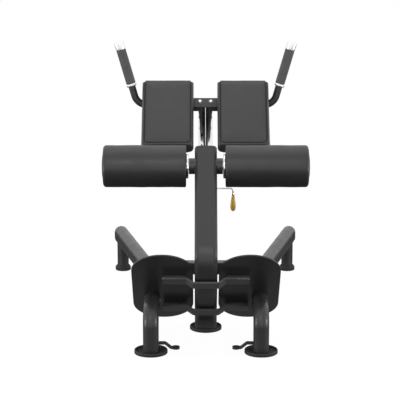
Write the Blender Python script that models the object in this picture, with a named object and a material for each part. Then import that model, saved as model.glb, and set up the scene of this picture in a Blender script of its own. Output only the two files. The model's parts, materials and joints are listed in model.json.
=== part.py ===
"""Hyperextension bench with foot plates, two calf rollers and a sliding pair of thigh pads.

Metres, +Z up.  The origin is on the floor under the middle foot.  The near feet stand on the -Y side
and the user leans away along +Y.  Only the pull pin on the +X side breaks the symmetry about X = 0.
"""
import math

import bmesh
import bpy
from mathutils import Matrix, Vector

# Clearances
GAP = 0.0003
SLIDE_GAP = 0.0012

# Slope shared by the column, the beam and the pads
SLOPE = math.radians(45)
ALONG = Vector((0, math.cos(SLOPE), math.sin(SLOPE)))
OUT = Vector((0, -math.sin(SLOPE), math.cos(SLOPE)))
SIDE = Vector((1, 0, 0))
AWAY = Vector((0, 1, 0))
UP = Vector((0, 0, 1))
DIAMOND = (SIDE + OUT).normalized()
PIN_WAY = (SIDE - OUT).normalized()

# Feet
FOOT_RADIUS = 0.061
FOOT_HEIGHT = 0.014
FOOT_RIM = 0.004
FOOT_FLOOR = 0.006
NEAR_FOOT_X = 0.201
NEAR_FOOT_Y = -0.298
SLOPE_START = Vector((0, NEAR_FOOT_Y, 0))
TAB_BEHIND = 0.011
TAB_HIGH = 0.034
TAB_LEVEL = 0.0232
TAB_CLEAR = 0.0125
TAB_THICK = 0.008
TAB_EYE_HIGH = 0.0165
EYE_THICK = TAB_THICK + 0.0012
REAR_FOOT_RADIUS = 0.0335
REAR_FOOT_HEIGHT = 0.022

# Side tubes: near leg, bend, level rail, splay
TUBE_WALL = 0.003
RAIL_WIDTH = 0.057
RAIL_DEPTH = 0.077
RAIL_CORNER = 0.0275
RAIL_TOP = 0.185
LEG_BEND = 0.048
SPLAY_START = 0.202
SPLAY_BEND = 0.300
RAIL_END_X = 0.366
RAIL_END_Y = 0.907
REAR_LEG_INSET = 0.040
REAR_LEG_RADIUS = 0.0245
CAP_THICK = 0.004

# Bent front column
COLUMN_WIDTH = 0.0835
COLUMN_DEPTH = 0.090
COLUMN_CORNER = 0.017
COLUMN_FACE_OUT = 0.258
COLUMN_FACE_ALONG = 0.2086
COLUMN_TOP = 0.737
KNEE_BEND = 0.065
FOOT_BEND = 0.100
COLUMN_WALL = 0.003

# Foot plates and their two straps
PLATE_WIDTH = 0.226
PLATE_INNER_X = 0.047
PLATE_THICK = 0.006
PLATE_AT = 0.243
PLATE_HIGH = 0.284
PLATE_LOW = -0.178
STRAP_WIDTH = 0.040
STRAP_THICK = 0.008
STRAP_REACH = 0.160
STRAP_UPPER = 0.147
STRAP_LOWER = -0.0576
STRAP_STAND = 0.021
STRAP_PACKING = 0.005
STRAP_BLOCK_X = 0.115
STRAP_BLOCK_WIDE = 0.086
STRAP_PACKING_WIDE = 0.056
STRAP_BLOCK_HIGH = 0.016
STRAP_BLOCK_DROP = 0.010
STRAP_SET_X = 0.070
STRAP_PASS_X = 0.047
STRAP_BEND = 0.012

# Fixed beam, strut and cross tube behind the column
BEAM_WIDTH = 0.052
BEAM_CORNER = 0.007
BEAM_AXIS = -0.040
BEAM_WALL = 0.003
BEAM_HIGH = 0.872
COLLAR_LONG = 0.026
CROSS_Y = 0.357
CROSS_SIZE = 0.050
STRUT_WIDTH = 0.050
STRUT_DEPTH = 0.050
STRUT_AT = 0.838
STRUT_NOTCH_BELOW = 0.260

# Sliding post and pad carriage
POST_WIDTH = 0.0425
POST_CORNER = 0.004
POST_WALL = 0.003
POST_LOW = 0.590
BUSH_LOW = 0.560
SLOT_WIDE = 0.008
SLOT_LONG = 0.020
SLOT_PITCH = 0.0543
SLOTS_UP = 4
SLOTS_DOWN = 2
BAR_ABOVE_PAD_MID = 0.094
BAR_HEIGHT = 0.0475
BAR_DEPTH = 0.031
BAR_BOLT_X = 0.022
BAR_BOLT_ABOVE = 0.0035
PAD_WIDTH = 0.206
PAD_INNER_X = 0.0475
PAD_LONG = 0.321
PAD_THICK = 0.056
PAD_CORNER = 0.016
PAD_MID = 1.038
PAD_FACE = 0.060
BOARD_THICK = 0.012
BOARD_INSET = 0.010

# Handles
HANDLE_RADIUS = 0.0144
GRIP_RADIUS = 0.0191
STEM_LONG = 0.090
RING_LONG = 0.012
TIP_LONG = 0.031
ELBOW_OUTSIDE_BAR = 0.0640
HANDLE_LEAN = math.radians(16.1)
HANDLE_RISE = 0.2534
HANDLE_BEND = 0.050

# Rollers
AXLE_Y = 0.0168
AXLE_Z = 0.6311
AXLE_RADIUS = 0.0125
AXLE_HALF = 0.3752
BOSS_RADIUS = 0.030
BOSS_END_X = 0.0640
FLANGE_RADIUS = 0.046
FLANGE_THICK = 0.0085
ROLLER_INNER_X = 0.0742
ROLLER_OUTER_X = 0.3852
ROLLER_RADIUS = 0.0797
ROLLER_CORNER = 0.012
CORE_RADIUS = 0.030
CAP_RADIUS = 0.046

# Pull pin
PIN_AT = 0.766
PIN_DRAWN_CLEAR = 0.0006
HOUSING_RADIUS = 0.0135
HOUSING_LONG = 0.014
ROD_RADIUS = 0.0028
ROD_TAIL = 0.012
ROD_OUT_X = 0.109
ROD_BEND = 0.012
ROD_DROP = 0.016
GRIP_PIN_LONG = 0.067
GRIP_PIN_RADIUS = 0.0108

ROUND = 32


# Scene and material helpers

def clear_scene():
    for obj in list(bpy.data.objects):
        bpy.data.objects.remove(obj, do_unlink=True)


def material(name, colour, metallic, roughness):
    mat = bpy.data.materials.new(name)
    mat.use_nodes = True
    shader = mat.node_tree.nodes["Principled BSDF"]
    shader.inputs["Base Color"].default_value = (*colour, 1)
    shader.inputs["Metallic"].default_value = metallic
    shader.inputs["Roughness"].default_value = roughness
    return mat


def finish(name, bm, kind, rounded=True):
    """Turns a bmesh into one named object with its own material."""
    bmesh.ops.recalc_face_normals(bm, faces=bm.faces[:])
    mesh = bpy.data.meshes.new(name)
    bm.to_mesh(mesh)
    bm.free()
    obj = bpy.data.objects.new(name, mesh)
    bpy.context.scene.collection.objects.link(obj)
    obj.data.materials.append(material(name + "_finish", *KINDS[kind]))
    if rounded:
        mesh.shade_smooth()
        mesh.set_sharp_from_angle(angle=math.radians(35))
    return obj


KINDS = {
    "black_steel": ((0.03, 0.03, 0.032), 0.4, 0.45),
    "chrome": ((0.75, 0.75, 0.76), 1.0, 0.12),
    "vinyl": ((0.035, 0.035, 0.037), 0.0, 0.55),
    "foam": ((0.03, 0.03, 0.032), 0.0, 0.65),
    "rubber": ((0.02, 0.02, 0.02), 0.0, 0.75),
    "plastic": ((0.025, 0.025, 0.027), 0.0, 0.5),
    "aluminium": ((0.7, 0.7, 0.72), 1.0, 0.3),
    "orange": ((0.75, 0.36, 0.03), 0.0, 0.4),
    "board": ((0.02, 0.02, 0.02), 0.0, 0.7),
}


# Outlines, listed counter-clockwise in a local plane

def rounded_rect(width, height, radius, steps=3):
    points = []
    for quarter in range(4):
        sx = 1 if quarter in (0, 3) else -1
        sy = 1 if quarter in (0, 1) else -1
        centre = Vector((sx * (width / 2 - radius), sy * (height / 2 - radius)))
        for i in range(steps + 1):
            turn = (quarter + i / steps) * math.pi / 2
            points.append(centre + radius * Vector((math.cos(turn), math.sin(turn))))
    return points


def circle(radius, steps=ROUND):
    turns = [2 * math.pi * i / steps for i in range(steps)]
    return [radius * Vector((math.cos(t), math.sin(t))) for t in turns]


# Paths and frames

def bent_path(corners, radii, steps=8):
    """Points of a polyline whose inner corners are replaced by arcs."""
    points = [corners[0]]
    for before, corner, after, radius in zip(corners, corners[1:], corners[2:], radii):
        a = (before - corner).normalized()
        b = (after - corner).normalized()
        half = a.angle(b) / 2
        centre = corner + (a + b).normalized() * (radius / math.sin(half))
        first = corner + a * (radius / math.tan(half)) - centre
        last = corner + b * (radius / math.tan(half)) - centre
        turn = first.rotation_difference(last)
        axis, angle = turn.to_axis_angle()
        for i in range(steps + 1):
            points.append(centre + Matrix.Rotation(angle * i / steps, 3, axis) @ first)
    points.append(corners[-1])
    return points


def frames(points, side):
    """Mitred section frames along a path, carried without twist."""
    directions = [(b - a).normalized() for a, b in zip(points, points[1:])]
    result = []
    across = side
    for i, point in enumerate(points):
        before = directions[max(i - 1, 0)]
        after = directions[min(i, len(directions) - 1)]
        if i:
            across = before_turn @ across
        up = before.cross(across).normalized()
        mitre = (before + after).normalized()
        result.append((point, across.copy(), up, before, mitre))
        before_turn = before.rotation_difference(after)
    return result


def section_ring(bm, outline, frame):
    """Projects an outline along the tube onto the mitre plane of its frame."""
    point, across, up, before, mitre = frame
    ring = []
    for p in outline:
        offset = across * p.x + up * p.y
        slip = -offset.dot(mitre) / before.dot(mitre)
        ring.append(bm.verts.new(point + offset + before * slip))
    return ring


def bridge(bm, first, second):
    count = len(first)
    for i in range(count):
        j = (i + 1) % count
        bm.faces.new((first[i], first[j], second[j], second[i]))


def swept(outline, path_frames, inner=None):
    """A solid bar, or a tube with open ends when an inner outline is given."""
    bm = bmesh.new()
    outer = [section_ring(bm, outline, f) for f in path_frames]
    for a, b in zip(outer, outer[1:]):
        bridge(bm, a, b)
    if inner is None:
        bm.faces.new(list(reversed(outer[0])))
        bm.faces.new(outer[-1])
        return bm
    core = [section_ring(bm, inner, f) for f in path_frames]
    for a, b in zip(core, core[1:]):
        bridge(bm, b, a)
    bridge(bm, core[0], outer[0])
    bridge(bm, outer[-1], core[-1])
    return bm


def straight(a, b, side):
    return frames([a, b], side)


def cap(bm, first, last, axis):
    """Closes a ring to its centre: one flat face where they are level, a fan where they are not."""
    point, ring = (first[0], last) if len(first) == 1 else (last[0], first)
    if abs((ring[0].co - point.co).dot(axis)) < 1e-7:
        bm.faces.new(ring)
        bm.verts.remove(point)
        return
    for i in range(len(ring)):
        bm.faces.new((point, ring[i], ring[(i + 1) % len(ring)]))


def turned(profile, origin, axis, side, steps=ROUND):
    """A closed profile of (along, radius) pairs turned about an axis."""
    bm = bmesh.new()
    other = axis.cross(side)
    rings = []
    for along, radius in profile:
        if radius < 1e-9:
            rings.append([bm.verts.new(origin + axis * along)])
            continue
        ring = []
        for i in range(steps):
            turn = 2 * math.pi * i / steps
            spoke = side * math.cos(turn) + other * math.sin(turn)
            ring.append(bm.verts.new(origin + axis * along + spoke * radius))
        rings.append(ring)
    closed = len(rings[0]) > 1 and len(rings[-1]) > 1
    pairs = list(zip(rings, rings[1:] + rings[:1])) if closed else list(zip(rings, rings[1:]))
    for a, b in pairs:
        if len(a) == len(b) == 1:
            continue
        if len(a) == 1 or len(b) == 1:
            cap(bm, a, b, axis)
        else:
            bridge(bm, a, b)
    return bm


def cut_with(obj, bm, name):
    """Subtracts a hidden cutter from an object."""
    cutter = finish(name, bm, "plastic", rounded=False)
    cutter.hide_render = True
    cutter.display_type = "WIRE"
    step = obj.modifiers.new(name, "BOOLEAN")
    step.operation = "DIFFERENCE"
    step.solver = "EXACT"
    step.object = cutter


def add_to(obj, bm, name):
    """Joins a hidden helper solid to an object."""
    cut_with(obj, bm, name)
    obj.modifiers[name].operation = "UNION"


def slope_point(x, along, out):
    """A point from its place across, along the 45 degree slope, and square to it."""
    return SLOPE_START + SIDE * x + ALONG * along + OUT * out


def mirror_x(point, sign):
    return Vector((point.x * sign, point.y, point.z))


# Base frame

RAIL_Z = RAIL_TOP - RAIL_DEPTH / 2
REAR_LEG_Y = RAIL_END_Y - REAR_LEG_INSET
SPLAY = (RAIL_END_X - NEAR_FOOT_X) / (RAIL_END_Y - SPLAY_START)


def rail_path(sign):
    corners = [
        Vector((NEAR_FOOT_X, NEAR_FOOT_Y, FOOT_FLOOR + GAP)),
        Vector((NEAR_FOOT_X, NEAR_FOOT_Y, RAIL_Z)),
        Vector((NEAR_FOOT_X, SPLAY_START, RAIL_Z)),
        Vector((RAIL_END_X, RAIL_END_Y, RAIL_Z)),
    ]
    return frames(bent_path([mirror_x(c, sign) for c in corners], [LEG_BEND, SPLAY_BEND], 6), SIDE)


def rail_outline(grow):
    return rounded_rect(RAIL_WIDTH + 2 * grow, RAIL_DEPTH + 2 * grow, RAIL_CORNER + grow)


def rail_x(y):
    return NEAR_FOOT_X + (y - SPLAY_START) * SPLAY


def side_tube(side, sign):
    finish("side_tube_" + side, swept(rail_outline(0), rail_path(sign), rail_outline(-TUBE_WALL)), "black_steel")


def rail_cap(side, sign):
    end, across, up, before, _ = rail_path(sign)[-1]
    start = end + before * GAP
    path = straight(start, start + before * CAP_THICK, across)
    finish("rail_cap_" + side, swept(rail_outline(-0.0005), path), "plastic")


def rear_leg(side, sign):
    at = Vector((sign * rail_x(REAR_LEG_Y), REAR_LEG_Y, 0))
    low = at + Vector((0, 0, 0.005 + GAP))
    high = at + Vector((0, 0, RAIL_Z - 0.010))
    tube = swept(circle(REAR_LEG_RADIUS, 32), straight(low, high, SIDE), circle(REAR_LEG_RADIUS - TUBE_WALL, 32))
    leg = finish("rear_leg_" + side, tube, "black_steel")
    cut_with(leg, swept(rail_outline(GAP), rail_path(sign)), "rear_leg_saddle_" + side)


def round_foot(name, x, y):
    profile = [
        (0, 0), (0, FOOT_RADIUS - 0.002), (0.002, FOOT_RADIUS), (FOOT_HEIGHT - 0.002, FOOT_RADIUS),
        (FOOT_HEIGHT, FOOT_RADIUS - 0.0015), (FOOT_HEIGHT, FOOT_RADIUS - FOOT_RIM),
        (FOOT_FLOOR, FOOT_RADIUS - FOOT_RIM - 0.001), (FOOT_FLOOR, 0),
    ]
    finish(name, turned(profile, Vector((x, y, 0)), UP, SIDE), "rubber")


def rear_foot(side, sign):
    seat = REAR_LEG_RADIUS + GAP
    profile = [
        (0, 0), (0, REAR_FOOT_RADIUS - 0.002), (0.002, REAR_FOOT_RADIUS), (0.014, REAR_FOOT_RADIUS),
        (REAR_FOOT_HEIGHT, seat + 0.003), (REAR_FOOT_HEIGHT, seat), (0.005, seat), (0.005, 0),
    ]
    at = Vector((sign * rail_x(REAR_LEG_Y), REAR_LEG_Y, 0))
    finish("rear_foot_" + side, turned(profile, at, UP, SIDE, 36), "rubber")


def anchor_tab(side, sign):
    """A bent lug from the near leg to a floor eye."""
    y = NEAR_FOOT_Y + TAB_BEHIND
    start = NEAR_FOOT_X - RAIL_WIDTH / 2 - GAP
    bend = start - TAB_LEVEL
    foot = NEAR_FOOT_X - FOOT_RADIUS - TAB_CLEAR
    low = TAB_EYE_HIGH
    places = [(start, TAB_HIGH), (bend, TAB_HIGH), (foot, low), (foot - 0.0095, low)]
    corners = [Vector((sign * x, y, z)) for x, z in places]
    path = frames(bent_path(corners, [0.008, 0.008], 4), AWAY)
    tab = finish("anchor_tab_" + side, swept(rounded_rect(0.020, TAB_THICK, 0.001, 1), path), "black_steel")
    eye = Vector((sign * (foot - 0.0175), y, low - EYE_THICK / 2))
    up = UP
    disc = [(0, 0), (0, 0.014), (EYE_THICK, 0.014), (EYE_THICK, 0)]
    add_to(tab, turned(disc, eye, up, SIDE, 28), "tab_eye_" + side)
    hole = turned([(-0.01, 0), (-0.01, 0.007), (0.02, 0.007), (0.02, 0)], eye, up, SIDE, 24)
    cut_with(tab, hole, "tab_hole_" + side)


# Bent front column

COLUMN_OUT = COLUMN_FACE_OUT - COLUMN_DEPTH / 2
COLUMN_ALONG = COLUMN_FACE_ALONG + COLUMN_DEPTH / 2


def column_path():
    knee = slope_point(0, COLUMN_ALONG, COLUMN_OUT)
    reach = knee.y + knee.z
    corners = [
        Vector((0, 0, FOOT_FLOOR + GAP)),
        Vector((0, 0, reach)),
        knee,
        slope_point(0, COLUMN_TOP, COLUMN_OUT),
    ]
    return frames(bent_path(corners, [FOOT_BEND, KNEE_BEND], 6), SIDE)


def column_outline(grow):
    return rounded_rect(COLUMN_WIDTH + 2 * grow, COLUMN_DEPTH + 2 * grow, COLUMN_CORNER + grow)


def column():
    tube = finish("column", swept(column_outline(0), column_path(), column_outline(-COLUMN_WALL)), "black_steel")
    bore = circle(AXLE_RADIUS + GAP, 32)
    cut_with(tube, swept(bore, axle_line(0.060)), "column_axle_bore")
    start = slope_point(0, COLUMN_TOP + GAP, COLUMN_OUT)
    path = straight(start, start + ALONG * 0.003, SIDE)
    finish("column_cap", swept(column_outline(-0.001), path), "plastic")


# Foot plates and straps

def plate(side, sign):
    middle = (PLATE_HIGH + PLATE_LOW) / 2
    centre = slope_point(sign * (PLATE_INNER_X + PLATE_WIDTH / 2), PLATE_AT, middle)
    outline = rounded_rect(PLATE_WIDTH, PLATE_HIGH - PLATE_LOW, PLATE_WIDTH / 2 - 0.001, 12)
    board = finish("foot_plate_" + side, swept(outline, straight(centre, centre + ALONG * PLATE_THICK, SIDE)), "black_steel")
    cut_with(board, swept(rail_outline(0.0008), rail_path(sign)), "plate_notch_" + side)


def strap(name, out):
    """A flat bar across both plates, stood off them on blocks and stepped forward round the column."""
    back = PLATE_AT - STRAP_STAND - STRAP_THICK / 2
    front = COLUMN_FACE_ALONG - STRAP_PACKING - STRAP_THICK / 2
    places = [(STRAP_REACH, back), (STRAP_SET_X, back), (STRAP_PASS_X, front)]
    half = [slope_point(x, along, out) for x, along in places]
    corners = half + [mirror_x(p, -1) for p in reversed(half)]
    path = frames(bent_path(corners, [STRAP_BEND] * 4, 4), OUT)
    bar_obj = finish(name, swept(rounded_rect(STRAP_WIDTH, STRAP_THICK, 0.0015, 1), path), "black_steel")
    low = out - STRAP_BLOCK_DROP
    blocks = [(sign * STRAP_BLOCK_X, STRAP_BLOCK_WIDE, back, PLATE_AT) for side, sign in SIDES]
    blocks.append((0, STRAP_PACKING_WIDE, front, COLUMN_FACE_ALONG))
    for number, (x, wide, start, end) in enumerate(blocks):
        line = straight(slope_point(x, start, low), slope_point(x, end - GAP, low), SIDE)
        add_to(bar_obj, swept(rounded_rect(wide, STRAP_BLOCK_HIGH, 0.0015, 1), line), "%s_block_%d" % (name, number))


# Fixed beam and the pieces that carry it

def beam_outline(grow):
    return rounded_rect(BEAM_WIDTH + 2 * grow, BEAM_WIDTH + 2 * grow, BEAM_CORNER + grow)


def post_outline(grow):
    return rounded_rect(POST_WIDTH + 2 * grow, POST_WIDTH + 2 * grow, POST_CORNER + grow)


def on_beam(low, high):
    """A section path along the beam, turned so that one edge faces the user."""
    return straight(slope_point(0, low, BEAM_AXIS), slope_point(0, high, BEAM_AXIS), DIAMOND)


def beam():
    low = COLUMN_FACE_ALONG + COLUMN_DEPTH + GAP
    tube = finish("beam", swept(beam_outline(0), on_beam(low, BEAM_HIGH), beam_outline(-BEAM_WALL)), "black_steel")
    cut_with(tube, swept(slot_outline(0.0004), pin_line(BEAM_WIDTH / 2 - 0.008, BEAM_WIDTH / 2 + 0.004)), "beam_pin_hole")


def collar():
    """The plastic guide in the beam's mouth, with a lip over its end."""
    inner = post_outline(SLIDE_GAP)
    lip = swept(beam_outline(0.002), on_beam(BEAM_HIGH + GAP, BEAM_HIGH + COLLAR_LONG), inner)
    guide = finish("beam_collar", lip, "plastic")
    plug = swept(beam_outline(-BEAM_WALL - GAP), on_beam(BEAM_HIGH - 0.050, BEAM_HIGH + 0.002), inner)
    add_to(guide, plug, "collar_plug")


def bushing():
    outer = beam_outline(-BEAM_WALL - GAP)
    finish("beam_bushing", swept(outer, on_beam(BUSH_LOW, BUSH_LOW + 0.040), post_outline(SLIDE_GAP)), "plastic")


def cross_tube():
    half = Vector((rail_x(CROSS_Y), CROSS_Y, RAIL_Z))
    outline = rounded_rect(CROSS_SIZE, CROSS_SIZE, 0.006, 3)
    inner = rounded_rect(CROSS_SIZE - 0.006, CROSS_SIZE - 0.006, 0.003, 3)
    path = straight(mirror_x(half, -1), half, AWAY)
    tube = finish("cross_tube", swept(outline, path, inner), "black_steel")
    for side, sign in SIDES:
        cut_with(tube, swept(rail_outline(GAP), rail_path(sign)), "cross_tube_saddle_" + side)


def strut():
    """A leaning prop whose top is notched round the beam's lower edge."""
    low = Vector((0, CROSS_Y, RAIL_Z + CROSS_SIZE / 2 + GAP))
    first, last = straight(low, slope_point(0, STRUT_AT, BEAM_AXIS - 0.004), SIDE)
    level = first[:4] + (UP,)
    sloped = last[:4] + (OUT,)
    inner = rounded_rect(STRUT_WIDTH - 0.006, STRUT_DEPTH - 0.006, 0.003, 3)
    tube = swept(rounded_rect(STRUT_WIDTH, STRUT_DEPTH, 0.006, 3), [level, sloped], inner)
    prop = finish("strut", tube, "black_steel")
    cut_with(prop, swept(beam_outline(GAP), on_beam(BUSH_LOW - STRUT_NOTCH_BELOW, BEAM_HIGH)), "strut_notch")


# Rollers

def axle_line(half):
    centre = Vector((0, AXLE_Y, AXLE_Z))
    return straight(centre - SIDE * half, centre + SIDE * half, AWAY)


def on_axle(profile, sign, name, kind, steps=ROUND):
    finish(name, turned(profile, Vector((0, AXLE_Y, AXLE_Z)), SIDE * sign, AWAY, steps), kind)
    body = bpy.data.objects[name]
    body.data.transform(Matrix.Translation((0, -AXLE_Y, -AXLE_Z)))
    body.location = (0, AXLE_Y, AXLE_Z)
    return body


def axle():
    finish("axle", swept(circle(AXLE_RADIUS, 32), axle_line(AXLE_HALF)), "chrome")


def boss(side, sign):
    bore = AXLE_RADIUS + GAP
    profile = [(0.030, bore), (0.030, BOSS_RADIUS), (BOSS_END_X - 0.001, BOSS_RADIUS),
               (BOSS_END_X, BOSS_RADIUS - 0.001), (BOSS_END_X, bore)]
    stub = on_axle(profile, sign, "axle_boss_" + side, "black_steel", 36)
    cut_with(stub, swept(column_outline(GAP), column_path()), "boss_saddle_" + side)


def roller(side, sign):
    bore = AXLE_RADIUS + 0.0006
    inner = ROLLER_INNER_X
    outer = ROLLER_OUTER_X
    seat = CORE_RADIUS + GAP
    r = ROLLER_RADIUS
    c = ROLLER_CORNER
    arc = [(c * (1 - math.cos(t)), c * (1 - math.sin(t))) for t in (0, 0.4, 0.8, 1.2, math.pi / 2)]
    foam = [(inner, seat)] + [(inner + a * 0.4, r - b * 0.4) for a, b in arc]
    foam += [(outer - a, r - b) for a, b in reversed(arc)] + [(outer, seat)]
    on_axle(foam, sign, "roller_foam_" + side, "foam")
    core = [(inner + GAP, bore), (inner + GAP, CORE_RADIUS), (outer + GAP, CORE_RADIUS), (outer + GAP, CAP_RADIUS),
            (outer + 0.003, CAP_RADIUS - 0.002), (outer + CAP_THICK, CAP_RADIUS - 0.010), (outer + CAP_THICK, 0),
            (outer - CAP_THICK, 0), (outer - CAP_THICK, bore)]
    on_axle(core, sign, "roller_core_" + side, "plastic", 32)
    low = inner - GAP - FLANGE_THICK
    disc = [(low, bore), (low, FLANGE_RADIUS - 0.001), (low + 0.001, FLANGE_RADIUS),
            (inner - GAP - 0.001, FLANGE_RADIUS), (inner - GAP, FLANGE_RADIUS - 0.001), (inner - GAP, bore)]
    on_axle(disc, sign, "roller_flange_" + side, "chrome")


# Sliding carriage

BAR_AT = PAD_MID + BAR_ABOVE_PAD_MID
BAR_BOLT_AT = BAR_AT + BAR_BOLT_ABOVE
BAR_FACE = PAD_FACE - PAD_THICK - BOARD_THICK - GAP
BAR_OUT = BAR_FACE - BAR_DEPTH / 2
BAR_HALF = PAD_INNER_X + PAD_WIDTH - 0.0425
PAD_CENTRE_X = PAD_INNER_X + PAD_WIDTH / 2
PAD_BOLT_X = (PAD_CENTRE_X - 0.0505, PAD_CENTRE_X + 0.0295)
HANDLE_ELBOW_X = BAR_HALF + ELBOW_OUTSIDE_BAR
HANDLE_Y = slope_point(0, BAR_AT, BAR_OUT).y
HANDLE_Z = slope_point(0, BAR_AT, BAR_OUT).z
LEAN_LONG = HANDLE_RISE / math.cos(HANDLE_LEAN)


def pin_line(a, b, at=PIN_AT):
    """A path along the pull pin's way, square to the post's lower right face."""
    centre = slope_point(0, at, BEAM_AXIS)
    return straight(centre + PIN_WAY * a, centre + PIN_WAY * b, DIAMOND)


def slot_outline(grow):
    return rounded_rect(SLOT_WIDE + 2 * grow, SLOT_LONG + 2 * grow, SLOT_WIDE / 2 + grow - 0.0002, 4)


def post():
    high = BAR_AT - BAR_HEIGHT / 2 - GAP
    tube = finish("post", swept(post_outline(0), on_beam(POST_LOW, high), post_outline(-POST_WALL)), "chrome")
    holes = bmesh.new()
    for step in range(-SLOTS_DOWN, SLOTS_UP + 1):
        hole = swept(slot_outline(0.0004), pin_line(-POST_WIDTH, POST_WIDTH, PIN_AT + step * SLOT_PITCH))
        mesh = bpy.data.meshes.new("hole")
        hole.to_mesh(mesh)
        hole.free()
        holes.from_mesh(mesh)
        bpy.data.meshes.remove(mesh)
    cut_with(tube, holes, "post_holes")
    return [tube]


def bolt_line(x, along, low, high):
    return straight(slope_point(x, along, low), slope_point(x, along, high), SIDE)


def bar():
    outline = rounded_rect(BAR_DEPTH, BAR_HEIGHT, 0.004, 3)
    inner = rounded_rect(BAR_DEPTH - 0.006, BAR_HEIGHT - 0.006, 0.002, 3)
    ends = [slope_point(s * BAR_HALF, BAR_AT, BAR_OUT) for s in (-1, 1)]
    path = straight(ends[0], ends[1], OUT)
    tube = finish("pad_bar", swept(outline, path, inner), "black_steel")
    pieces = [tube]
    for side, sign in SIDES:
        front = swept(circle(0.0045, 20), bolt_line(sign * BAR_BOLT_X, BAR_BOLT_AT, BAR_FACE - 0.006, BAR_FACE + 0.003))
        cut_with(tube, front, "bar_hole_" + side)
        for i, x in enumerate(PAD_BOLT_X):
            back = BAR_FACE - BAR_DEPTH
            through = swept(circle(0.0045, 20), bolt_line(sign * x, BAR_AT, back - 0.003, BAR_FACE + 0.003))
            cut_with(tube, through, "pad_bolt_hole_%s_%d" % (side, i))
        a = slope_point(sign * (BAR_HALF + GAP), BAR_AT, BAR_OUT)
        b = slope_point(sign * (BAR_HALF + GAP + 0.004), BAR_AT, BAR_OUT)
        pieces.append(finish("bar_end_" + side, swept(outline, straight(a, b, OUT)), "black_steel"))
    return pieces


def bolt(name, x, along, seat, facing, shank):
    """A domed bolt whose head sits on a face and whose shank runs in its hole."""
    profile = [(-shank, 0), (-shank, 0.0042), (GAP, 0.0042), (GAP, 0.0088), (0.003, 0.0088),
               (0.0055, 0.0072), (0.0068, 0.0046), (0.0068, 0)]
    return finish(name, turned(profile, slope_point(x, along, seat), OUT * facing, SIDE, 24), "chrome")


def bolts(side, sign):
    back = BAR_FACE - BAR_DEPTH
    pieces = [bolt("bar_bolt_" + side, sign * BAR_BOLT_X, BAR_BOLT_AT, BAR_FACE, 1, 0.004)]
    for place, x in zip(("inner", "outer"), PAD_BOLT_X):
        pieces.append(bolt("pad_bolt_%s_%s" % (place, side), sign * x, BAR_AT, back, -1, BAR_DEPTH + 0.008))
    return pieces


def pad_board(side, sign):
    outline = rounded_rect(PAD_WIDTH - 2 * BOARD_INSET, PAD_LONG - 2 * BOARD_INSET, PAD_CORNER, 6)
    low = slope_point(sign * PAD_CENTRE_X, PAD_MID, PAD_FACE - PAD_THICK - BOARD_THICK)
    board = finish("pad_board_" + side, swept(outline, straight(low, low + OUT * (BOARD_THICK - GAP), SIDE)), "board")
    for i, x in enumerate(PAD_BOLT_X):
        hole = swept(circle(0.0045, 20), bolt_line(sign * x, BAR_AT, BAR_FACE - 0.004, BAR_FACE + 0.0085))
        cut_with(board, hole, "board_hole_%s_%d" % (side, i))
    return board


PAD_LEVELS = [
    (0.005, 0.0), (0.001, 0.004), (0.0, 0.012), (0.0, 0.030), (0.0025, 0.038), (0.0075, 0.0425),
    (0.0110, 0.0432), (0.0125, 0.0420), (0.0145, 0.0434), (0.030, 0.0450), (0.060, 0.0460),
]


def pad(side, sign):
    """A cushion of stacked outlines: drawn in at the back, seamed and crowned in front."""
    bm = bmesh.new()
    back = slope_point(sign * PAD_CENTRE_X, PAD_MID, PAD_FACE - PAD_THICK)
    rings = []
    for inset, height in PAD_LEVELS:
        corner = max(PAD_CORNER - inset * 0.4, 0.008)
        outline = rounded_rect(PAD_WIDTH - 2 * inset, PAD_LONG - 2 * inset, corner, 5)
        rings.append([bm.verts.new(back + SIDE * p.x + ALONG * p.y + OUT * height) for p in outline])
    for a, b in zip(rings, rings[1:]):
        bridge(bm, a, b)
    bm.faces.new(list(reversed(rings[0])))
    bm.faces.new(rings[-1])
    return finish("thigh_pad_" + side, bm, "vinyl")


def handle_axis(sign):
    lean = Vector((sign * math.sin(HANDLE_LEAN), 0, math.cos(HANDLE_LEAN)))
    elbow = Vector((sign * HANDLE_ELBOW_X, HANDLE_Y, HANDLE_Z))
    return elbow, lean


def handle(side, sign):
    elbow, lean = handle_axis(sign)
    top = LEAN_LONG - TIP_LONG - GAP
    start = Vector((sign * (BAR_HALF + 0.004 + 2 * GAP), HANDLE_Y, HANDLE_Z))
    path = frames(bent_path([start, elbow, elbow + lean * top], [HANDLE_BEND], 8), AWAY)
    inner = circle(HANDLE_RADIUS - 0.0025, 20)
    tube = finish("handle_" + side, swept(circle(HANDLE_RADIUS, 20), path, inner), "black_steel")
    bore = HANDLE_RADIUS + GAP
    grip_low = STEM_LONG
    grip_high = LEAN_LONG - TIP_LONG - GAP
    r = GRIP_RADIUS
    grip = [(grip_low, bore), (grip_low, r - 0.001), (grip_low + 0.001, r), (grip_high - 0.001, r),
            (grip_high, r - 0.001), (grip_high, bore)]
    ring_high = grip_low - GAP
    ring = [(ring_high - RING_LONG, bore), (ring_high - RING_LONG, 0.0182), (ring_high - 0.004, 0.0212),
            (ring_high - 0.001, 0.0212), (ring_high, 0.0202), (ring_high, bore)]
    low = LEAN_LONG - TIP_LONG
    tip = [(low, 0), (low, 0.0185), (low + 0.003, 0.0200), (LEAN_LONG - 0.004, 0.0208),
           (LEAN_LONG - 0.001, 0.0195), (LEAN_LONG, 0.0165), (LEAN_LONG, 0)]
    across = AWAY
    return [
        tube,
        finish("grip_" + side, turned(grip, elbow, lean, across, 32), "rubber"),
        finish("grip_ring_" + side, turned(ring, elbow, lean, across, 32), "aluminium"),
        finish("grip_tip_" + side, turned(tip, elbow, lean, across, 32), "aluminium"),
    ]


# Pull pin

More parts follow.
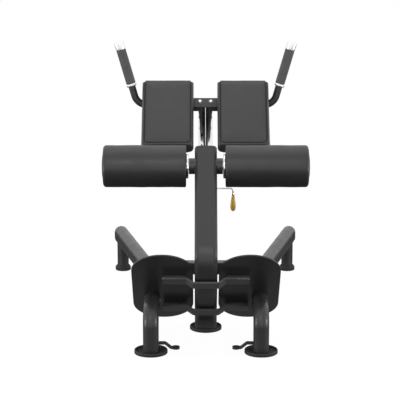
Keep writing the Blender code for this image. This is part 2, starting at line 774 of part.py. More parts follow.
def pin_housing():
    """The guide boss of the pull pin on the beam's lower right face."""
    wall = BEAM_WIDTH / 2 + GAP
    top = wall + HOUSING_LONG
    profile = [(wall, 0), (wall, HOUSING_RADIUS), (top - 0.002, HOUSING_RADIUS), (top, HOUSING_RADIUS - 0.002), (top, 0)]
    boss_body = turned(profile, slope_point(0, PIN_AT, BEAM_AXIS), PIN_WAY, DIAMOND, 28)
    guide = finish("pin_housing", boss_body, "black_steel")
    cut_with(guide, swept(slot_outline(0.0004), pin_line(wall - 0.004, top + 0.004)), "housing_slot")


def pull_rod(tail):
    """The bent wire from the pin's tail, out to the side and down to the grip."""
    at = slope_point(0, PIN_AT, BEAM_AXIS)
    elbow = at + PIN_WAY * (tail + ROD_TAIL)
    out = Vector((ROD_OUT_X, elbow.y, elbow.z))
    corners = [at + PIN_WAY * (tail + GAP), elbow, out, out - UP * ROD_DROP]
    rod = finish("pull_rod", swept(circle(ROD_RADIUS, 14), frames(bent_path(corners, [0.008, ROD_BEND], 5), DIAMOND)), "chrome")
    ferrule = [(-0.001, 0), (-0.001, 0.0032), (0.0090, 0.0058), (0.0090, 0)]
    add_to(rod, turned(ferrule, corners[-1], -UP, SIDE, 24), "rod_ferrule")
    return rod, corners[-1]


def pull_pin():
    """The flat plunger, stored drawn out just clear of the post, with its rod and grip."""
    tip = POST_WIDTH / 2 + PIN_DRAWN_CLEAR
    tail = BEAM_WIDTH / 2 + HOUSING_LONG + 0.006
    rod, low = pull_rod(tail)
    g = GRIP_PIN_RADIUS
    n = GRIP_PIN_LONG
    grip = [(0, 0), (0, 0.0052), (0.12 * n, 0.0060), (0.35 * n, 0.0080), (0.62 * n, g), (0.82 * n, g * 0.97),
            (0.92 * n, g * 0.80), (0.975 * n, g * 0.50), (n, g * 0.2), (n, 0)]
    return [
        rod,
        finish("pull_pin", swept(slot_outline(-0.0001), pin_line(tip, tail)), "chrome"),
        finish("pull_grip", turned(grip, low - UP * (0.0090 + GAP), -UP, SIDE, 28), "orange"),
    ]


def carry(name, origin, pieces):
    """Hangs moving pieces from one empty whose origin lies on their joint axis."""
    holder = bpy.data.objects.new(name, None)
    bpy.context.scene.collection.objects.link(holder)
    holder.location = origin
    for piece in pieces:
        piece.data.transform(Matrix.Translation(-origin))
        piece.parent = holder


SIDES = (("left", -1), ("right", 1))


def main():
    clear_scene()
    round_foot("foot_middle", 0, 0)
    column()
    strap("strap_upper", STRAP_UPPER)
    strap("strap_lower", STRAP_LOWER)
    beam()
    collar()
    bushing()
    cross_tube()
    strut()
    axle()
    pin_housing()
    sliding = post() + bar()
    for side, sign in SIDES:
        round_foot("foot_near_" + side, sign * NEAR_FOOT_X, NEAR_FOOT_Y)
        rear_foot(side, sign)
        side_tube(side, sign)
        rail_cap(side, sign)
        rear_leg(side, sign)
        anchor_tab(side, sign)
        plate(side, sign)
        boss(side, sign)
        roller(side, sign)
        sliding += [pad_board(side, sign), pad(side, sign)] + bolts(side, sign) + handle(side, sign)
    carry("carriage", slope_point(0, BAR_AT, BEAM_AXIS), sliding)
    carry("pull_pin_slide", slope_point(0, PIN_AT, BEAM_AXIS), pull_pin())


main()
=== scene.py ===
"""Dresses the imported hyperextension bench: smooth tubes, sewn pads, skinned rollers and real finishes."""

import json
import math

import bmesh
import bpy
from bpy.props import FloatProperty, FloatVectorProperty, IntProperty, PointerProperty
from mathutils import Matrix, Vector, noise

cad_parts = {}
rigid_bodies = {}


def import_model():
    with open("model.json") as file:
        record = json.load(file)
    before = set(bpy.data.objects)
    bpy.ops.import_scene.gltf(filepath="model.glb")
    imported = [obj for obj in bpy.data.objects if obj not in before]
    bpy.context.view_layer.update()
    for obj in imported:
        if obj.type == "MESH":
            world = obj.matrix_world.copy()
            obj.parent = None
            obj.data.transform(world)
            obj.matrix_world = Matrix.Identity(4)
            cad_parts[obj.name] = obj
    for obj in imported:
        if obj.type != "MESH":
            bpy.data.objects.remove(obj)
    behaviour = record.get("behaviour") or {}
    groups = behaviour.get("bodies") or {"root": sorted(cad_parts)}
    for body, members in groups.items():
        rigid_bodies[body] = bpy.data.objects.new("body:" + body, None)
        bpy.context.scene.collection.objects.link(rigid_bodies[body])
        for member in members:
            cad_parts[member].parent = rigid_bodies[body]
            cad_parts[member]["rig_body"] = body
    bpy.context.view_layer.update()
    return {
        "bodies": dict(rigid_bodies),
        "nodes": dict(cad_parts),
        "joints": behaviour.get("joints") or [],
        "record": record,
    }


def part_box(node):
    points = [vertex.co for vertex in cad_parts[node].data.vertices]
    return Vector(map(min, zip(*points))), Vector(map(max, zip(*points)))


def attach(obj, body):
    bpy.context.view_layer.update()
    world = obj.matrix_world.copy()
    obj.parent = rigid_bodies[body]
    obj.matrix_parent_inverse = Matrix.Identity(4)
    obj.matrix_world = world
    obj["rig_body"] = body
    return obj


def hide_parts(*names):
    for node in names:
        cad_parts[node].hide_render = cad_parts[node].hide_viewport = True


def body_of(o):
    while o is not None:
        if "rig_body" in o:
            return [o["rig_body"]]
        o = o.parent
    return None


bl_info = {
    "name": "Hyperextension Bench",
    "version": (1, 0, 0),
    "blender": (4, 5, 0),
    "location": "View3D > Sidebar > Bench",
    "description": "Dresses the packed bench with its visible pieces and finishes",
    "category": "Object",
}

SIDES = (("left", -1), ("right", 1))
RIGHT = Vector((1, 0, 0))
AWAY = Vector((0, 1, 0))
UP = Vector((0, 0, 1))
SLOPE = math.radians(45)
ALONG = Vector((0, math.cos(SLOPE), math.sin(SLOPE)))
OUT = Vector((0, -math.sin(SLOPE), math.cos(SLOPE)))
DIAMOND = (RIGHT + OUT).normalized()
PIN_WAY = (RIGHT - OUT).normalized()
NEAR_Y = -0.298
SLOPE_START = Vector((0, NEAR_Y, 0))
GAP = 0.0003
SIXTH = math.pi / 3


# Sizes and colours

def metres(name, description, default):
    """A size in metres."""
    return FloatProperty(name=name, description=description, default=default, unit="LENGTH")


class TubeSizes(bpy.types.PropertyGroup):
    rail_width: metres("Rail width", "Width of a side tube", 0.057)
    rail_depth: metres("Rail depth", "Height of a side tube", 0.077)
    rail_corner: metres("Rail corner", "Outside corner radius of a side tube", 0.0275)
    rail_top: metres("Rail top", "Height of the side tubes' upper face", 0.185)
    near_x: metres("Near foot X", "Distance of a near foot from the middle", 0.201)
    leg_bend: metres("Leg bend", "Bend radius where a side tube turns down to its near foot", 0.048)
    splay_start: metres("Splay start", "Where the side tubes begin to spread", 0.202)
    splay_bend: metres("Splay bend", "Bend radius where the side tubes spread", 0.300)
    end_x: metres("Rail end X", "Distance of a side tube's rear end from the middle", 0.366)
    end_y: metres("Rail end Y", "How far back the side tubes end", 0.907)
    foot_floor: metres("Foot floor", "Thickness of a foot under its leg", 0.006)
    column_width: metres("Column width", "Width of the column", 0.0835)
    column_depth: metres("Column depth", "Depth of the column", 0.090)
    column_corner: metres("Column corner", "Outside corner radius of the column", 0.017)
    column_face_out: metres("Column upper face", "The upper run's front face off the slope line", 0.258)
    column_face_along: metres("Column lower face", "The lower run's front face up the slope", 0.2086)
    column_top: metres("Column top", "Where the column ends up the slope", 0.737)
    foot_bend: metres("Foot bend", "Bend radius of the column above its foot", 0.100)
    knee_bend: metres("Knee bend", "Bend radius of the column's knee", 0.065)
    wall: metres("Wall", "Wall thickness of the tubes", 0.003)


class PadSizes(bpy.types.PropertyGroup):
    width: metres("Pad width", "Width of a thigh pad", 0.206)
    length: metres("Pad length", "Length of a thigh pad", 0.321)
    inner_x: metres("Pad inner X", "Distance of the inner end from the middle", 0.0475)
    middle: metres("Pad middle", "The pads' place up the slope", 1.038)
    face: metres("Pad face", "The pads' face off the slope line", 0.060)
    thickness: metres("Pad thickness", "Thickness of a thigh pad", 0.056)
    corner: metres("Pad corner", "Radius of the rounded corners", 0.016)
    head_corner: metres("Pad head corner", "Radius of the pads' corners at the head", 0.008)
    roll: metres("Head roll", "Length over which the face rolls back at the head", 0.027)
    roll_drop: metres("Head roll drop", "How far the face rolls back at the head", 0.007)
    roll_lift: metres("Head roll lift", "How far the face panel stands past the sides at the head", 0.0062)
    stitch: metres("Stitch pitch", "Distance from stitch to stitch", 0.0055)


class RollerSizes(bpy.types.PropertyGroup):
    inner_x: metres("Inner end", "Distance of the inner end from the middle", 0.0742)
    outer_x: metres("Outer end", "Distance of the roller's outer end from the middle", 0.3852)
    radius: metres("Radius", "Outside radius of a roller", 0.0797)
    corner: metres("Corner", "Radius of the rounded corners", 0.012)
    core: metres("Core radius", "Radius of the plastic core inside the foam", 0.030)
    cap: metres("Cap radius", "Radius of the core's outer cap", 0.046)
    axle: metres("Axle radius", "Radius of the axle", 0.0125)
    flange: metres("Flange radius", "Radius of the inner flange", 0.046)
    flange_thick: metres("Flange thickness", "Thickness of the inner flange", 0.0085)
    axle_y: metres("Axle Y", "The axle's distance behind the middle foot", 0.0168)
    axle_z: metres("Axle Z", "The axle's height above the floor", 0.6311)


class HandleSizes(bpy.types.PropertyGroup):
    tube: metres("Tube radius", "Outside radius of the bent handle tube", 0.0144)
    grip: metres("Grip radius", "Outside radius of the hand grip", 0.0191)
    ring: metres("Ring radius", "Outside radius of the ring below the grip", 0.0212)
    ring_long: metres("Ring length", "Length of the ring along the tube", 0.012)
    tip: metres("Tip radius", "Widest radius of the turned end cap", 0.0208)
    tip_long: metres("Tip length", "Length of the turned end cap", 0.031)
    stem: metres("Stem", "Bare tube between the elbow and the grip", 0.090)
    elbow_x: metres("Elbow X", "Where the leaning part meets the bar's axis", 0.275)
    start_x: metres("Start X", "Where the tube leaves the bar's end", 0.2156)
    bar_along: metres("Bar along", "The bar's place up the slope", 1.132)
    bar_out: metres("Bar out", "The bar's axis off the slope line", -0.0238)
    lean: FloatProperty(name="Lean", description="How far the handle leans outwards", unit="ROTATION",
                        default=math.radians(16.1))
    rise: metres("Rise", "Height of the tip above the bar's axis", 0.2534)
    bend: metres("Bend", "Bend radius of the tube", 0.050)


class PinSizes(bpy.types.PropertyGroup):
    at: metres("Pin along", "The pin's place up the slope", 0.766)
    beam_out: metres("Beam out", "The beam's axis off the slope line", -0.040)
    rod: metres("Rod radius", "Radius of the bent wire", 0.0028)
    tail: metres("Tail", "Where the wire leaves the pin, from the beam's axis", 0.046)
    elbow: metres("Elbow", "How far past the pin the wire turns", 0.012)
    out_x: metres("Wire end X", "Where the wire turns down to the grip", 0.109)
    drop: metres("Drop", "How far the wire hangs below its bend", 0.016)
    elbow_bend: metres("Elbow bend", "Bend radius of the wire beside the beam", 0.008)
    hook_bend: metres("Hook bend", "Bend radius of the wire above the grip", 0.012)
    ferrule_long: metres("Ferrule length", "Length of the ferrule below the wire's end", 0.0090)
    grip: metres("Grip radius", "Widest radius of the orange grip", 0.0108)
    grip_long: metres("Grip length", "Length of the orange grip", 0.067)


class PostSizes(bpy.types.PropertyGroup):
    width: metres("Post width", "Width across the post's flats", 0.0425)
    corner: metres("Post corner", "Outside corner radius of the post", 0.0020)
    wall: metres("Post wall", "Wall thickness of the post", 0.003)
    slot_wide: metres("Slot width", "Width of a slot", 0.0088)
    slot_long: metres("Slot length", "Length of a slot along the post", 0.0208)
    pitch: metres("Slot pitch", "Distance from slot to slot", 0.0543)
    below: IntProperty(name="Slots below", description="Slots below the pin", default=2, min=0)
    above: IntProperty(name="Slots above", description="Slots above the pin", default=4, min=0)


class FittingSizes(bpy.types.PropertyGroup):
    foot: metres("Foot radius", "Outside radius of the dished feet", 0.061)
    foot_high: metres("Foot height", "Height of the dished feet", 0.014)
    foot_rim: metres("Foot rim", "Width of the feet's rolled rim", 0.004)
    foot_floor: metres("Foot floor", "Thickness under the leg", 0.006)
    strap_wide: metres("Strap width", "Width of the straps behind the plates", 0.040)
    strap_thick: metres("Strap thickness", "Thickness of the straps", 0.008)
    strap_reach: metres("Strap reach", "Half the length of a strap", 0.160)
    strap_upper: metres("Upper strap", "Place of the upper strap across the plates", 0.147)
    strap_lower: metres("Lower strap", "Place of the lower strap across the plates", -0.0576)
    step_outer: metres("Step start", "Where a strap begins to step forward to the column", 0.070)
    step_inner: metres("Step end", "Where a strap has reached the column's face", 0.047)
    strap_bend: metres("Strap bend", "Bend radius of the straps' steps", 0.012)
    strap_stand: metres("Strap stand-off", "How far the straps stand off the plates", 0.021)
    packing: metres("Strap packing", "How far the straps stand off the column", 0.005)
    packing_wide: metres("Packing width", "Width of the packing between a strap and the column", 0.056)
    block_x: metres("Block X", "Place of the blocks between the straps and the plates", 0.115)
    block_wide: metres("Block width", "Width of the blocks", 0.086)
    block_high: metres("Block height", "Height of the blocks", 0.016)
    block_drop: metres("Block drop", "How far the blocks sit below the straps' middle", 0.010)
    plate_at: metres("Plates along", "The plates' back face up the slope", 0.243)
    head: metres("Bolt head", "Radius of the bolts' washers", 0.0088)
    edge: metres("Edge", "Radius of the broken edges of plates and tubes", 0.0009)


def hexed(code):
    """A linear colour from an sRGB hex string."""
    parts = [int(code[i:i + 2], 16) / 255 for i in (1, 3, 5)]
    return tuple(c / 12.92 if c <= 0.04045 else ((c + 0.055) / 1.055) ** 2.4 for c in parts)


def colour(name, code):
    """A colour from an sRGB hex string."""
    return FloatVectorProperty(name=name, description="Base colour of the %s" % name.lower(), subtype="COLOR",
                               size=3, min=0, max=1, default=hexed(code))


class Finishes(bpy.types.PropertyGroup):
    coat: colour("Powder coat", "#424243")
    vinyl: colour("Pad vinyl", "#424243")
    foam: colour("Roller skin", "#3d3d3e")
    rubber: colour("Foot rubber", "#3a3a3a")
    grip: colour("Hand grip", "#6e6e6e")
    plastic: colour("Plastic", "#2f2f30")
    # Painted light: the straps' colour is the black powder coat made lighter, so their faces look brighter
    # than the plates beside them.
    strap: colour("Strap coat", "#626263")
    board: colour("Backing board", "#262626")
    chrome: colour("Chrome", "#ececee")
    aluminium: colour("Aluminium", "#f2f2f3")
    orange: colour("Pull grip", "#ffca52")
    thread: colour("Thread", "#363637")


# Node helpers

def add(tree, kind, **values):
    """Adds a shader or geometry node; keys name its properties or its input sockets."""
    node = tree.nodes.new(kind)
    for key, value in values.items():
        if hasattr(node, key):
            setattr(node, key, value)
            continue
        socket = node.inputs[key.replace("_", " ")]
        if isinstance(value, bpy.types.NodeSocket):
            tree.links.new(value, socket)
        else:
            socket.default_value = value
    return node


def blank(name):
    mat = bpy.data.materials.new(name)
    mat.use_nodes = True
    mat.node_tree.nodes.clear()
    return mat, mat.node_tree


def close(mat, tree, shader):
    output = tree.nodes.new("ShaderNodeOutputMaterial")
    tree.links.new(shader.outputs[0], output.inputs[0])
    return mat


def varied(tree, coords, base, spread, scale):
    """A base colour with soft patches that are a little lighter and darker."""
    patches = add(tree, "ShaderNodeTexNoise", Vector=coords, Scale=scale, Detail=3.0, Roughness=0.55)
    ramp = add(tree, "ShaderNodeValToRGB", Fac=patches.outputs["Fac"])
    ramp.color_ramp.elements[0].position = 0.3
    ramp.color_ramp.elements[1].position = 0.7
    ramp.color_ramp.elements[0].color = (*[c * (1 - spread) for c in base], 1)
    ramp.color_ramp.elements[1].color = (*[min(c * (1 + spread), 1) for c in base], 1)
    return ramp.outputs["Color"]


def spread_rough(tree, coords, low, high, scale):
    """Roughness that drifts between two values."""
    smear = add(tree, "ShaderNodeTexNoise", Vector=coords, Scale=scale, Detail=4.0)
    span = add(tree, "ShaderNodeMapRange", Value=smear.outputs["Fac"])
    span.inputs["From Min"].default_value = 0.3
    span.inputs["From Max"].default_value = 0.7
    span.inputs["To Min"].default_value = low
    span.inputs["To Max"].default_value = high
    return span.outputs["Result"]


def object_coords(tree):
    return tree.nodes.new("ShaderNodeTexCoord").outputs["Object"]


# Finishes

# Grain sizes, in repeats to the metre.
# A peel hump is 1.1 mm, a pebble 1.6, a handling crease 17, a rubber grain 0.7 and a moulded grain 0.55.
PEEL = 900.0
PEBBLE = 620.0
CREASE = 60.0
RUBBER_GRAIN = 1400.0
SPARK_GRAIN = 1800.0


def powder_coat(base, name="powder_coat_black"):
    """Black textured powder coat: a fine orange peel, slightly satin."""
    mat, tree = blank(name)
    coords = object_coords(tree)
    peel = add(tree, "ShaderNodeTexNoise", Vector=coords, Scale=PEEL, Detail=2.0)
    bump = add(tree, "ShaderNodeBump", Strength=0.10, Distance=0.0002, Height=peel.outputs["Fac"])
    shader = add(tree, "ShaderNodeBsdfPrincipled", Base_Color=varied(tree, coords, base, 0.05, 7.0),
                 Roughness=spread_rough(tree, coords, 0.32, 0.42, 20.0), Normal=bump.outputs[0])
    return close(mat, tree, shader)


def vinyl(base, name="pad_vinyl_black", fine=1.0):
    """Upholstery vinyl: small pebbled leather grain with a soft sheen on the ridges."""
    mat, tree = blank(name)
    coords = object_coords(tree)
    pebble = add(tree, "ShaderNodeTexVoronoi", Vector=coords, Scale=PEBBLE * fine, feature="SMOOTH_F1")
    crease = add(tree, "ShaderNodeTexNoise", Vector=coords, Scale=CREASE, Detail=5.0)
    first = add(tree, "ShaderNodeBump", Strength=0.18, Distance=0.0003, Height=pebble.outputs["Distance"])
    second = add(tree, "ShaderNodeBump", Strength=0.12, Distance=0.0012, Height=crease.outputs["Fac"],
                 Normal=first.outputs[0])
    shader = add(tree, "ShaderNodeBsdfPrincipled", Base_Color=varied(tree, coords, base, 0.06, 9.0),
                 Roughness=spread_rough(tree, coords, 0.36, 0.46, 30.0), Normal=second.outputs[0])
    return close(mat, tree, shader)


def roller_skin(base):
    """Moulded foam skin: the same vinyl film with a coarser pebble."""
    return vinyl(base, "roller_skin_black", 0.8)


def rubber(base, name="foot_rubber"):
    """Matt moulded rubber with a dusty bloom."""
    mat, tree = blank(name)
    coords = object_coords(tree)
    grain = add(tree, "ShaderNodeTexNoise", Vector=coords, Scale=RUBBER_GRAIN, Detail=2.0)
    bump = add(tree, "ShaderNodeBump", Strength=0.15, Distance=0.0002, Height=grain.outputs["Fac"])
    shader = add(tree, "ShaderNodeBsdfPrincipled", Base_Color=varied(tree, coords, base, 0.10, 18.0),
                 Roughness=spread_rough(tree, coords, 0.66, 0.80, 25.0), Normal=bump.outputs[0])
    return close(mat, tree, shader)


def moulded_plastic(base, name, low, high):
    """Injection-moulded plastic with a spark-eroded texture."""
    mat, tree = blank(name)
    coords = object_coords(tree)
    grain = add(tree, "ShaderNodeTexNoise", Vector=coords, Scale=SPARK_GRAIN, Detail=1.0)
    bump = add(tree, "ShaderNodeBump", Strength=0.08, Distance=0.0001, Height=grain.outputs["Fac"])
    shader = add(tree, "ShaderNodeBsdfPrincipled", Base_Color=varied(tree, coords, base, 0.05, 30.0),
                 Roughness=spread_rough(tree, coords, low, high, 40.0), Normal=bump.outputs[0])
    return close(mat, tree, shader)


def bright_metal(base, name, low, high, streak):
    """Plated or turned metal with faint polishing streaks."""
    mat, tree = blank(name)
    coords = object_coords(tree)
    stretch = add(tree, "ShaderNodeMapping", Vector=coords, Scale=(30.0, 30.0, 400.0))
    lines = add(tree, "ShaderNodeTexNoise", Vector=stretch.outputs[0], Scale=3.0, Detail=3.0)
    bump = add(tree, "ShaderNodeBump", Strength=streak, Distance=0.0001, Height=lines.outputs["Fac"])
    shader = add(tree, "ShaderNodeBsdfPrincipled", Base_Color=varied(tree, coords, base, 0.02, 15.0),
                 Metallic=1.0, Roughness=spread_rough(tree, coords, low, high, 35.0), Normal=bump.outputs[0])
    return close(mat, tree, shader)


def backing_board(base):
    """Black-stained plywood behind the pads, its grain along the board."""
    mat, tree = blank("backing_board_black")
    coords = object_coords(tree)
    stretch = add(tree, "ShaderNodeMapping", Vector=coords, Scale=(1.0, 12.0, 12.0))
    grain = add(tree, "ShaderNodeTexNoise", Vector=stretch.outputs[0], Scale=25.0, Detail=5.0)
    bump = add(tree, "ShaderNodeBump", Strength=0.15, Distance=0.0003, Height=grain.outputs["Fac"])
    shader = add(tree, "ShaderNodeBsdfPrincipled", Base_Color=varied(tree, coords, base, 0.15, 20.0),
                 Roughness=spread_rough(tree, coords, 0.6, 0.75, 20.0), Normal=bump.outputs[0])
    return close(mat, tree, shader)


def make_finishes():
    look = bpy.context.scene.bench_finishes
    return {
        "coat": powder_coat(look.coat),
        # The straps get a lighter copy of the black powder coat: painted light.
        "strap": powder_coat(look.strap, "powder_coat_painted_light"),
        "vinyl": vinyl(look.vinyl),
        "foam": roller_skin(look.foam),
        "rubber": rubber(look.rubber),
        "grip": rubber(look.grip, "hand_grip_rubber"),
        "plastic": moulded_plastic(look.plastic, "cap_plastic_black", 0.42, 0.55),
        "board": backing_board(look.board),
        "chrome": bright_metal(look.chrome, "chrome_plate", 0.05, 0.09, 0.02),
        "aluminium": bright_metal(look.aluminium, "turned_aluminium", 0.34, 0.46, 0.03),
        "orange": moulded_plastic(look.orange, "pull_grip_orange", 0.30, 0.42),
        "thread": rubber(look.thread, "sewing_thread"),
    }


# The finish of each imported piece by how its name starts. The first match holds; the rest are powder coated.
NODE_FINISHES = (
    ("foot_near", "rubber"), ("foot_middle", "rubber"), ("rear_foot", "rubber"), ("grip_ring", "aluminium"),
    ("grip_tip", "aluminium"), ("grip_", "grip"), ("post", "chrome"), ("axle_boss", "coat"),
    ("axle", "chrome"), ("roller_flange", "chrome"), ("bar_bolt", "chrome"), ("pad_bolt", "chrome"),
    ("pull_grip", "orange"), ("pull_", "chrome"), ("roller_core", "plastic"), ("roller_foam", "foam"),
    ("column_cap", "coat"), ("rail_cap", "plastic"), ("beam_collar", "plastic"), ("beam_bushing", "plastic"),
    ("pad_board", "board"), ("thigh_pad", "vinyl"),
)


def finish_of(node):
    for start, finish in NODE_FINISHES:
        if node.startswith(start):
            return finish
    return "coat"


# Mesh helpers

def made(name, bm, body, material, *replaced, crease=None):
    """Links a finished mesh, gives it its finish and its body, and hides the nodes it stands for."""
    bmesh.ops.recalc_face_normals(bm, faces=bm.faces[:])
    mesh = bpy.data.meshes.new(name)
    bm.to_mesh(mesh)
    bm.free()
    obj = bpy.data.objects.new(name, mesh)
    bpy.context.scene.collection.objects.link(obj)
    mesh.materials.append(material)
    mesh.shade_smooth()
    if crease:
        mesh.set_sharp_from_angle(angle=math.radians(crease))
    if replaced:
        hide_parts(*replaced)
        DRESSED.update(replaced)
    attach(obj, body)
    return obj


def flattened(obj):
    """Keeps broad faces flat beside narrow rounded ones."""
    even = obj.modifiers.new("flat_faces", "WEIGHTED_NORMAL")
    even.keep_sharp = True
    even.weight = 80
    return obj


def rounded_rect(width, height, radius, steps=8, side_steps=1):
    points = []
    for quarter in range(4):
        sx = 1 if quarter in (0, 3) else -1
        sy = 1 if quarter in (0, 1) else -1
        centre = Vector((sx * (width / 2 - radius), sy * (height / 2 - radius)))
        for i in range(steps + 1):
            turn = (quarter + i / steps) * math.pi / 2
            points.append(centre + radius * Vector((math.cos(turn), math.sin(turn))))
    if side_steps == 1:
        return points
    full = []
    for i, point in enumerate(points):
        full.append(point)
        if i % (steps + 1) == steps:
            after = points[(i + 1) % len(points)]
            full += [point.lerp(after, k / side_steps) for k in range(1, side_steps)]
    return full


def circle(radius, steps=48):
    turns = [2 * math.pi * i / steps for i in range(steps)]
    return [radius * Vector((math.cos(t), math.sin(t))) for t in turns]


def bent_path(corners, radii, steps=20):
    """Points of a polyline whose inner corners are replaced by arcs."""
    points = [corners[0]]
    for before, corner, after, radius in zip(corners, corners[1:], corners[2:], radii):
        a = (before - corner).normalized()
        b = (after - corner).normalized()
        half = a.angle(b) / 2
        centre = corner + (a + b).normalized() * (radius / math.sin(half))
        first = corner + a * (radius / math.tan(half)) - centre
        last = corner + b * (radius / math.tan(half)) - centre
        axis, angle = first.rotation_difference(last).to_axis_angle()
        for i in range(steps + 1):
            points.append(centre + Matrix.Rotation(angle * i / steps, 3, axis) @ first)
    points.append(corners[-1])
    return points


def frames(points, side):
    """Mitred section frames along a path, carried without twist."""
    directions = [(b - a).normalized() for a, b in zip(points, points[1:])]
    result = []
    across = side
    turn = None
    for i, point in enumerate(points):
        before = directions[max(i - 1, 0)]
        after = directions[min(i, len(directions) - 1)]
        if turn:
            across = turn @ across
        up = before.cross(across).normalized()
        result.append((point, across.copy(), up, before, (before + after).normalized()))
        turn = before.rotation_difference(after)
    return result


def section_ring(bm, outline, frame):
    """The outline's points where it is mitred at one frame of a path."""
    point, across, up, before, mitre = frame
    ring = []
    for p in outline:
        offset = across * p.x + up * p.y
        ring.append(bm.verts.new(point + offset - before * (offset.dot(mitre) / before.dot(mitre))))
    return ring


def bridge(bm, first, second):
    """Quads between two rings of as many points."""
    count = len(first)
    for i in range(count):
        j = (i + 1) % count
        bm.faces.new((first[i], first[j], second[j], second[i]))


def joined(first, *others):
    """Several loose meshes as one."""
    for other in others:
        mesh = bpy.data.meshes.new("part")
        other.to_mesh(mesh)
        other.free()
        first.from_mesh(mesh)
        bpy.data.meshes.remove(mesh)
    return first


def swept(outline, path_frames, inner=None):
    """A solid bar, or a tube with open ends when an inner outline is given."""
    bm = bmesh.new()
    outer = [section_ring(bm, outline, f) for f in path_frames]
    for a, b in zip(outer, outer[1:]):
        bridge(bm, a, b)
    if inner is None:
        bm.faces.new(list(reversed(outer[0])))
        bm.faces.new(outer[-1])
        return bm
    core = [section_ring(bm, inner, f) for f in path_frames]
    for a, b in zip(core, core[1:]):
        bridge(bm, b, a)
    bridge(bm, core[0], outer[0])
    bridge(bm, outer[-1], core[-1])
    return bm


def straight(a, b, side):
    """Section frames of a straight piece."""
    return frames([a, b], side)


def turned(profile, origin, axis, side, steps=64, wobble=0.0, socket=()):
    """A profile of (along, radius) pairs turned about an axis; socket's points are turned as hexagons."""
    bm = bmesh.new()
    other = axis.cross(side)
    rings = []
    for index, (along, radius) in enumerate(profile):
        if radius < 1e-9:
            rings.append([bm.verts.new(origin + axis * along)])
            continue
        ring = []
        for i in range(steps):
            turn = 2 * math.pi * i / steps
            spoke = side * math.cos(turn) + other * math.sin(turn)
            reach = radius / math.cos(turn % SIXTH - SIXTH / 2) if index in socket else radius
            place = origin + axis * along + spoke * reach
            uneven = wobble * noise.noise(place * 26) if wobble else 0
            ring.append(bm.verts.new(place + spoke * uneven))
        rings.append(ring)
    closed = len(rings[0]) > 1 and len(rings[-1]) > 1
    pairs = list(zip(rings, rings[1:] + rings[:1])) if closed else list(zip(rings, rings[1:]))
    for a, b in pairs:
        if len(a) == len(b) == 1:
            continue
        if len(a) == 1:
            for i in range(len(b)):
                bm.faces.new((a[0], b[i], b[(i + 1) % len(b)]))
        elif len(b) == 1:
            for i in range(len(a)):
                bm.faces.new((a[(i + 1) % len(a)], a[i], b[0]))
        else:
            bridge(bm, a, b)
    return bm


def slope_point(x, along, out):
    """A place from the middle plane, up the slope and out from it."""
    return SLOPE_START + RIGHT * x + ALONG * along + OUT * out


def mirror_x(point, sign):
    return Vector((point.x * sign, point.y, point.z))


# Frame tubes

def rail_path(sizes, sign):
    """Up from a near foot, round the bend, straight back and then outwards."""
    middle = sizes.rail_top - sizes.rail_depth / 2
    corners = [
        Vector((sizes.near_x, NEAR_Y, sizes.foot_floor + GAP)),
        Vector((sizes.near_x, NEAR_Y, middle)),
        Vector((sizes.near_x, sizes.splay_start, middle)),
        Vector((sizes.end_x, sizes.end_y, middle)),
    ]
    turned_corners = [mirror_x(c, sign) for c in corners]
    return frames(bent_path(turned_corners, [sizes.leg_bend, sizes.splay_bend]), RIGHT)


def rail_outline(sizes, grow):
    corner = sizes.rail_corner + grow
    return rounded_rect(sizes.rail_width + 2 * grow, sizes.rail_depth + 2 * grow, corner, 10)


def column_path(sizes):
    """Up from the middle foot, out square to the slope to the knee, and then up the slope."""
    out = sizes.column_face_out - sizes.column_depth / 2
    knee = slope_point(0, sizes.column_face_along + sizes.column_depth / 2, out)
    corners = [
        Vector((0, 0, sizes.foot_floor + GAP)),
        Vector((0, 0, knee.y + knee.z)),
        knee,
        slope_point(0, sizes.column_top, out),
    ]
    return frames(bent_path(corners, [sizes.foot_bend, sizes.knee_bend]), RIGHT)


class BENCH_OT_tubes(bpy.types.Operator):
    """Makes the two side tubes and the bent column with their full round corners"""
    bl_idname = "bench.tubes"
    bl_label = "Frame tubes"

    def execute(self, context):
        sizes = context.scene.bench_tubes
        coat = FINISH["coat"]
        for side, sign in SIDES:
            tube = swept(rail_outline(sizes, 0), rail_path(sizes, sign), rail_outline(sizes, -sizes.wall))
            flattened(made("rail_" + side, tube, "frame", coat, "side_tube_" + side, crease=40))
        width, depth, corner = sizes.column_width, sizes.column_depth, sizes.column_corner
        outer = rounded_rect(width, depth, corner, 10)
        wall = sizes.wall
        inner = rounded_rect(width - 2 * wall, depth - 2 * wall, corner - wall, 10)
        tube = swept(outer, column_path(sizes), inner)
        flattened(made("bent_column", tube, "frame", coat, "column", crease=40))
        return {"FINISHED"}


# Thigh pads

# Each level of a pad from its back to its face: how far it is drawn in, and its height.
PAD_LEVELS = (
    (0.0120, 0.0000), (0.0055, 0.0008), (0.0018, 0.0035), (0.0004, 0.0080), (0.0000, 0.0150),
    (0.0000, 0.0240), (0.0000, 0.0330), (0.0005, 0.0385), (0.0016, 0.0430), (0.0034, 0.0466),
    (0.0056, 0.0494), (0.0078, 0.0511),
) + tuple((0.0090 + 0.0007 * k, 0.0517 + 0.00012 * k) for k in range(14)) + (
    (0.0200, 0.0538), (0.0225, 0.0542), (0.0250, 0.0545), (0.0280, 0.0548), (0.0320, 0.0550),
    (0.0380, 0.0553), (0.0460, 0.0555), (0.0620, 0.0558), (0.0800, 0.0559), (0.0960, 0.0560),
)
# The seam's distance from the pad's sides and foot, and the radius of its two corners.
SEAM_SIDE = 0.0115
SEAM_LOW = 0.0150
SEAM_CORNER = 0.016
GROOVE_DEEP = 0.0034
GROOVE_WIDE = 0.0019
WELT_HIGH = 0.0007
WELT_OFF = 0.0038
WELT_WIDE = 0.0018
# The stitches' distance inside the seam, their corner, height and distance from the head.
STITCH_OFF = 0.0026
STITCH_CORNER = 0.014
STITCH_HIGH = 0.0519
STITCH_TOP = 0.012
# The width over which the panel steps down to the sides at the head.
PANEL_STEP = 0.0016
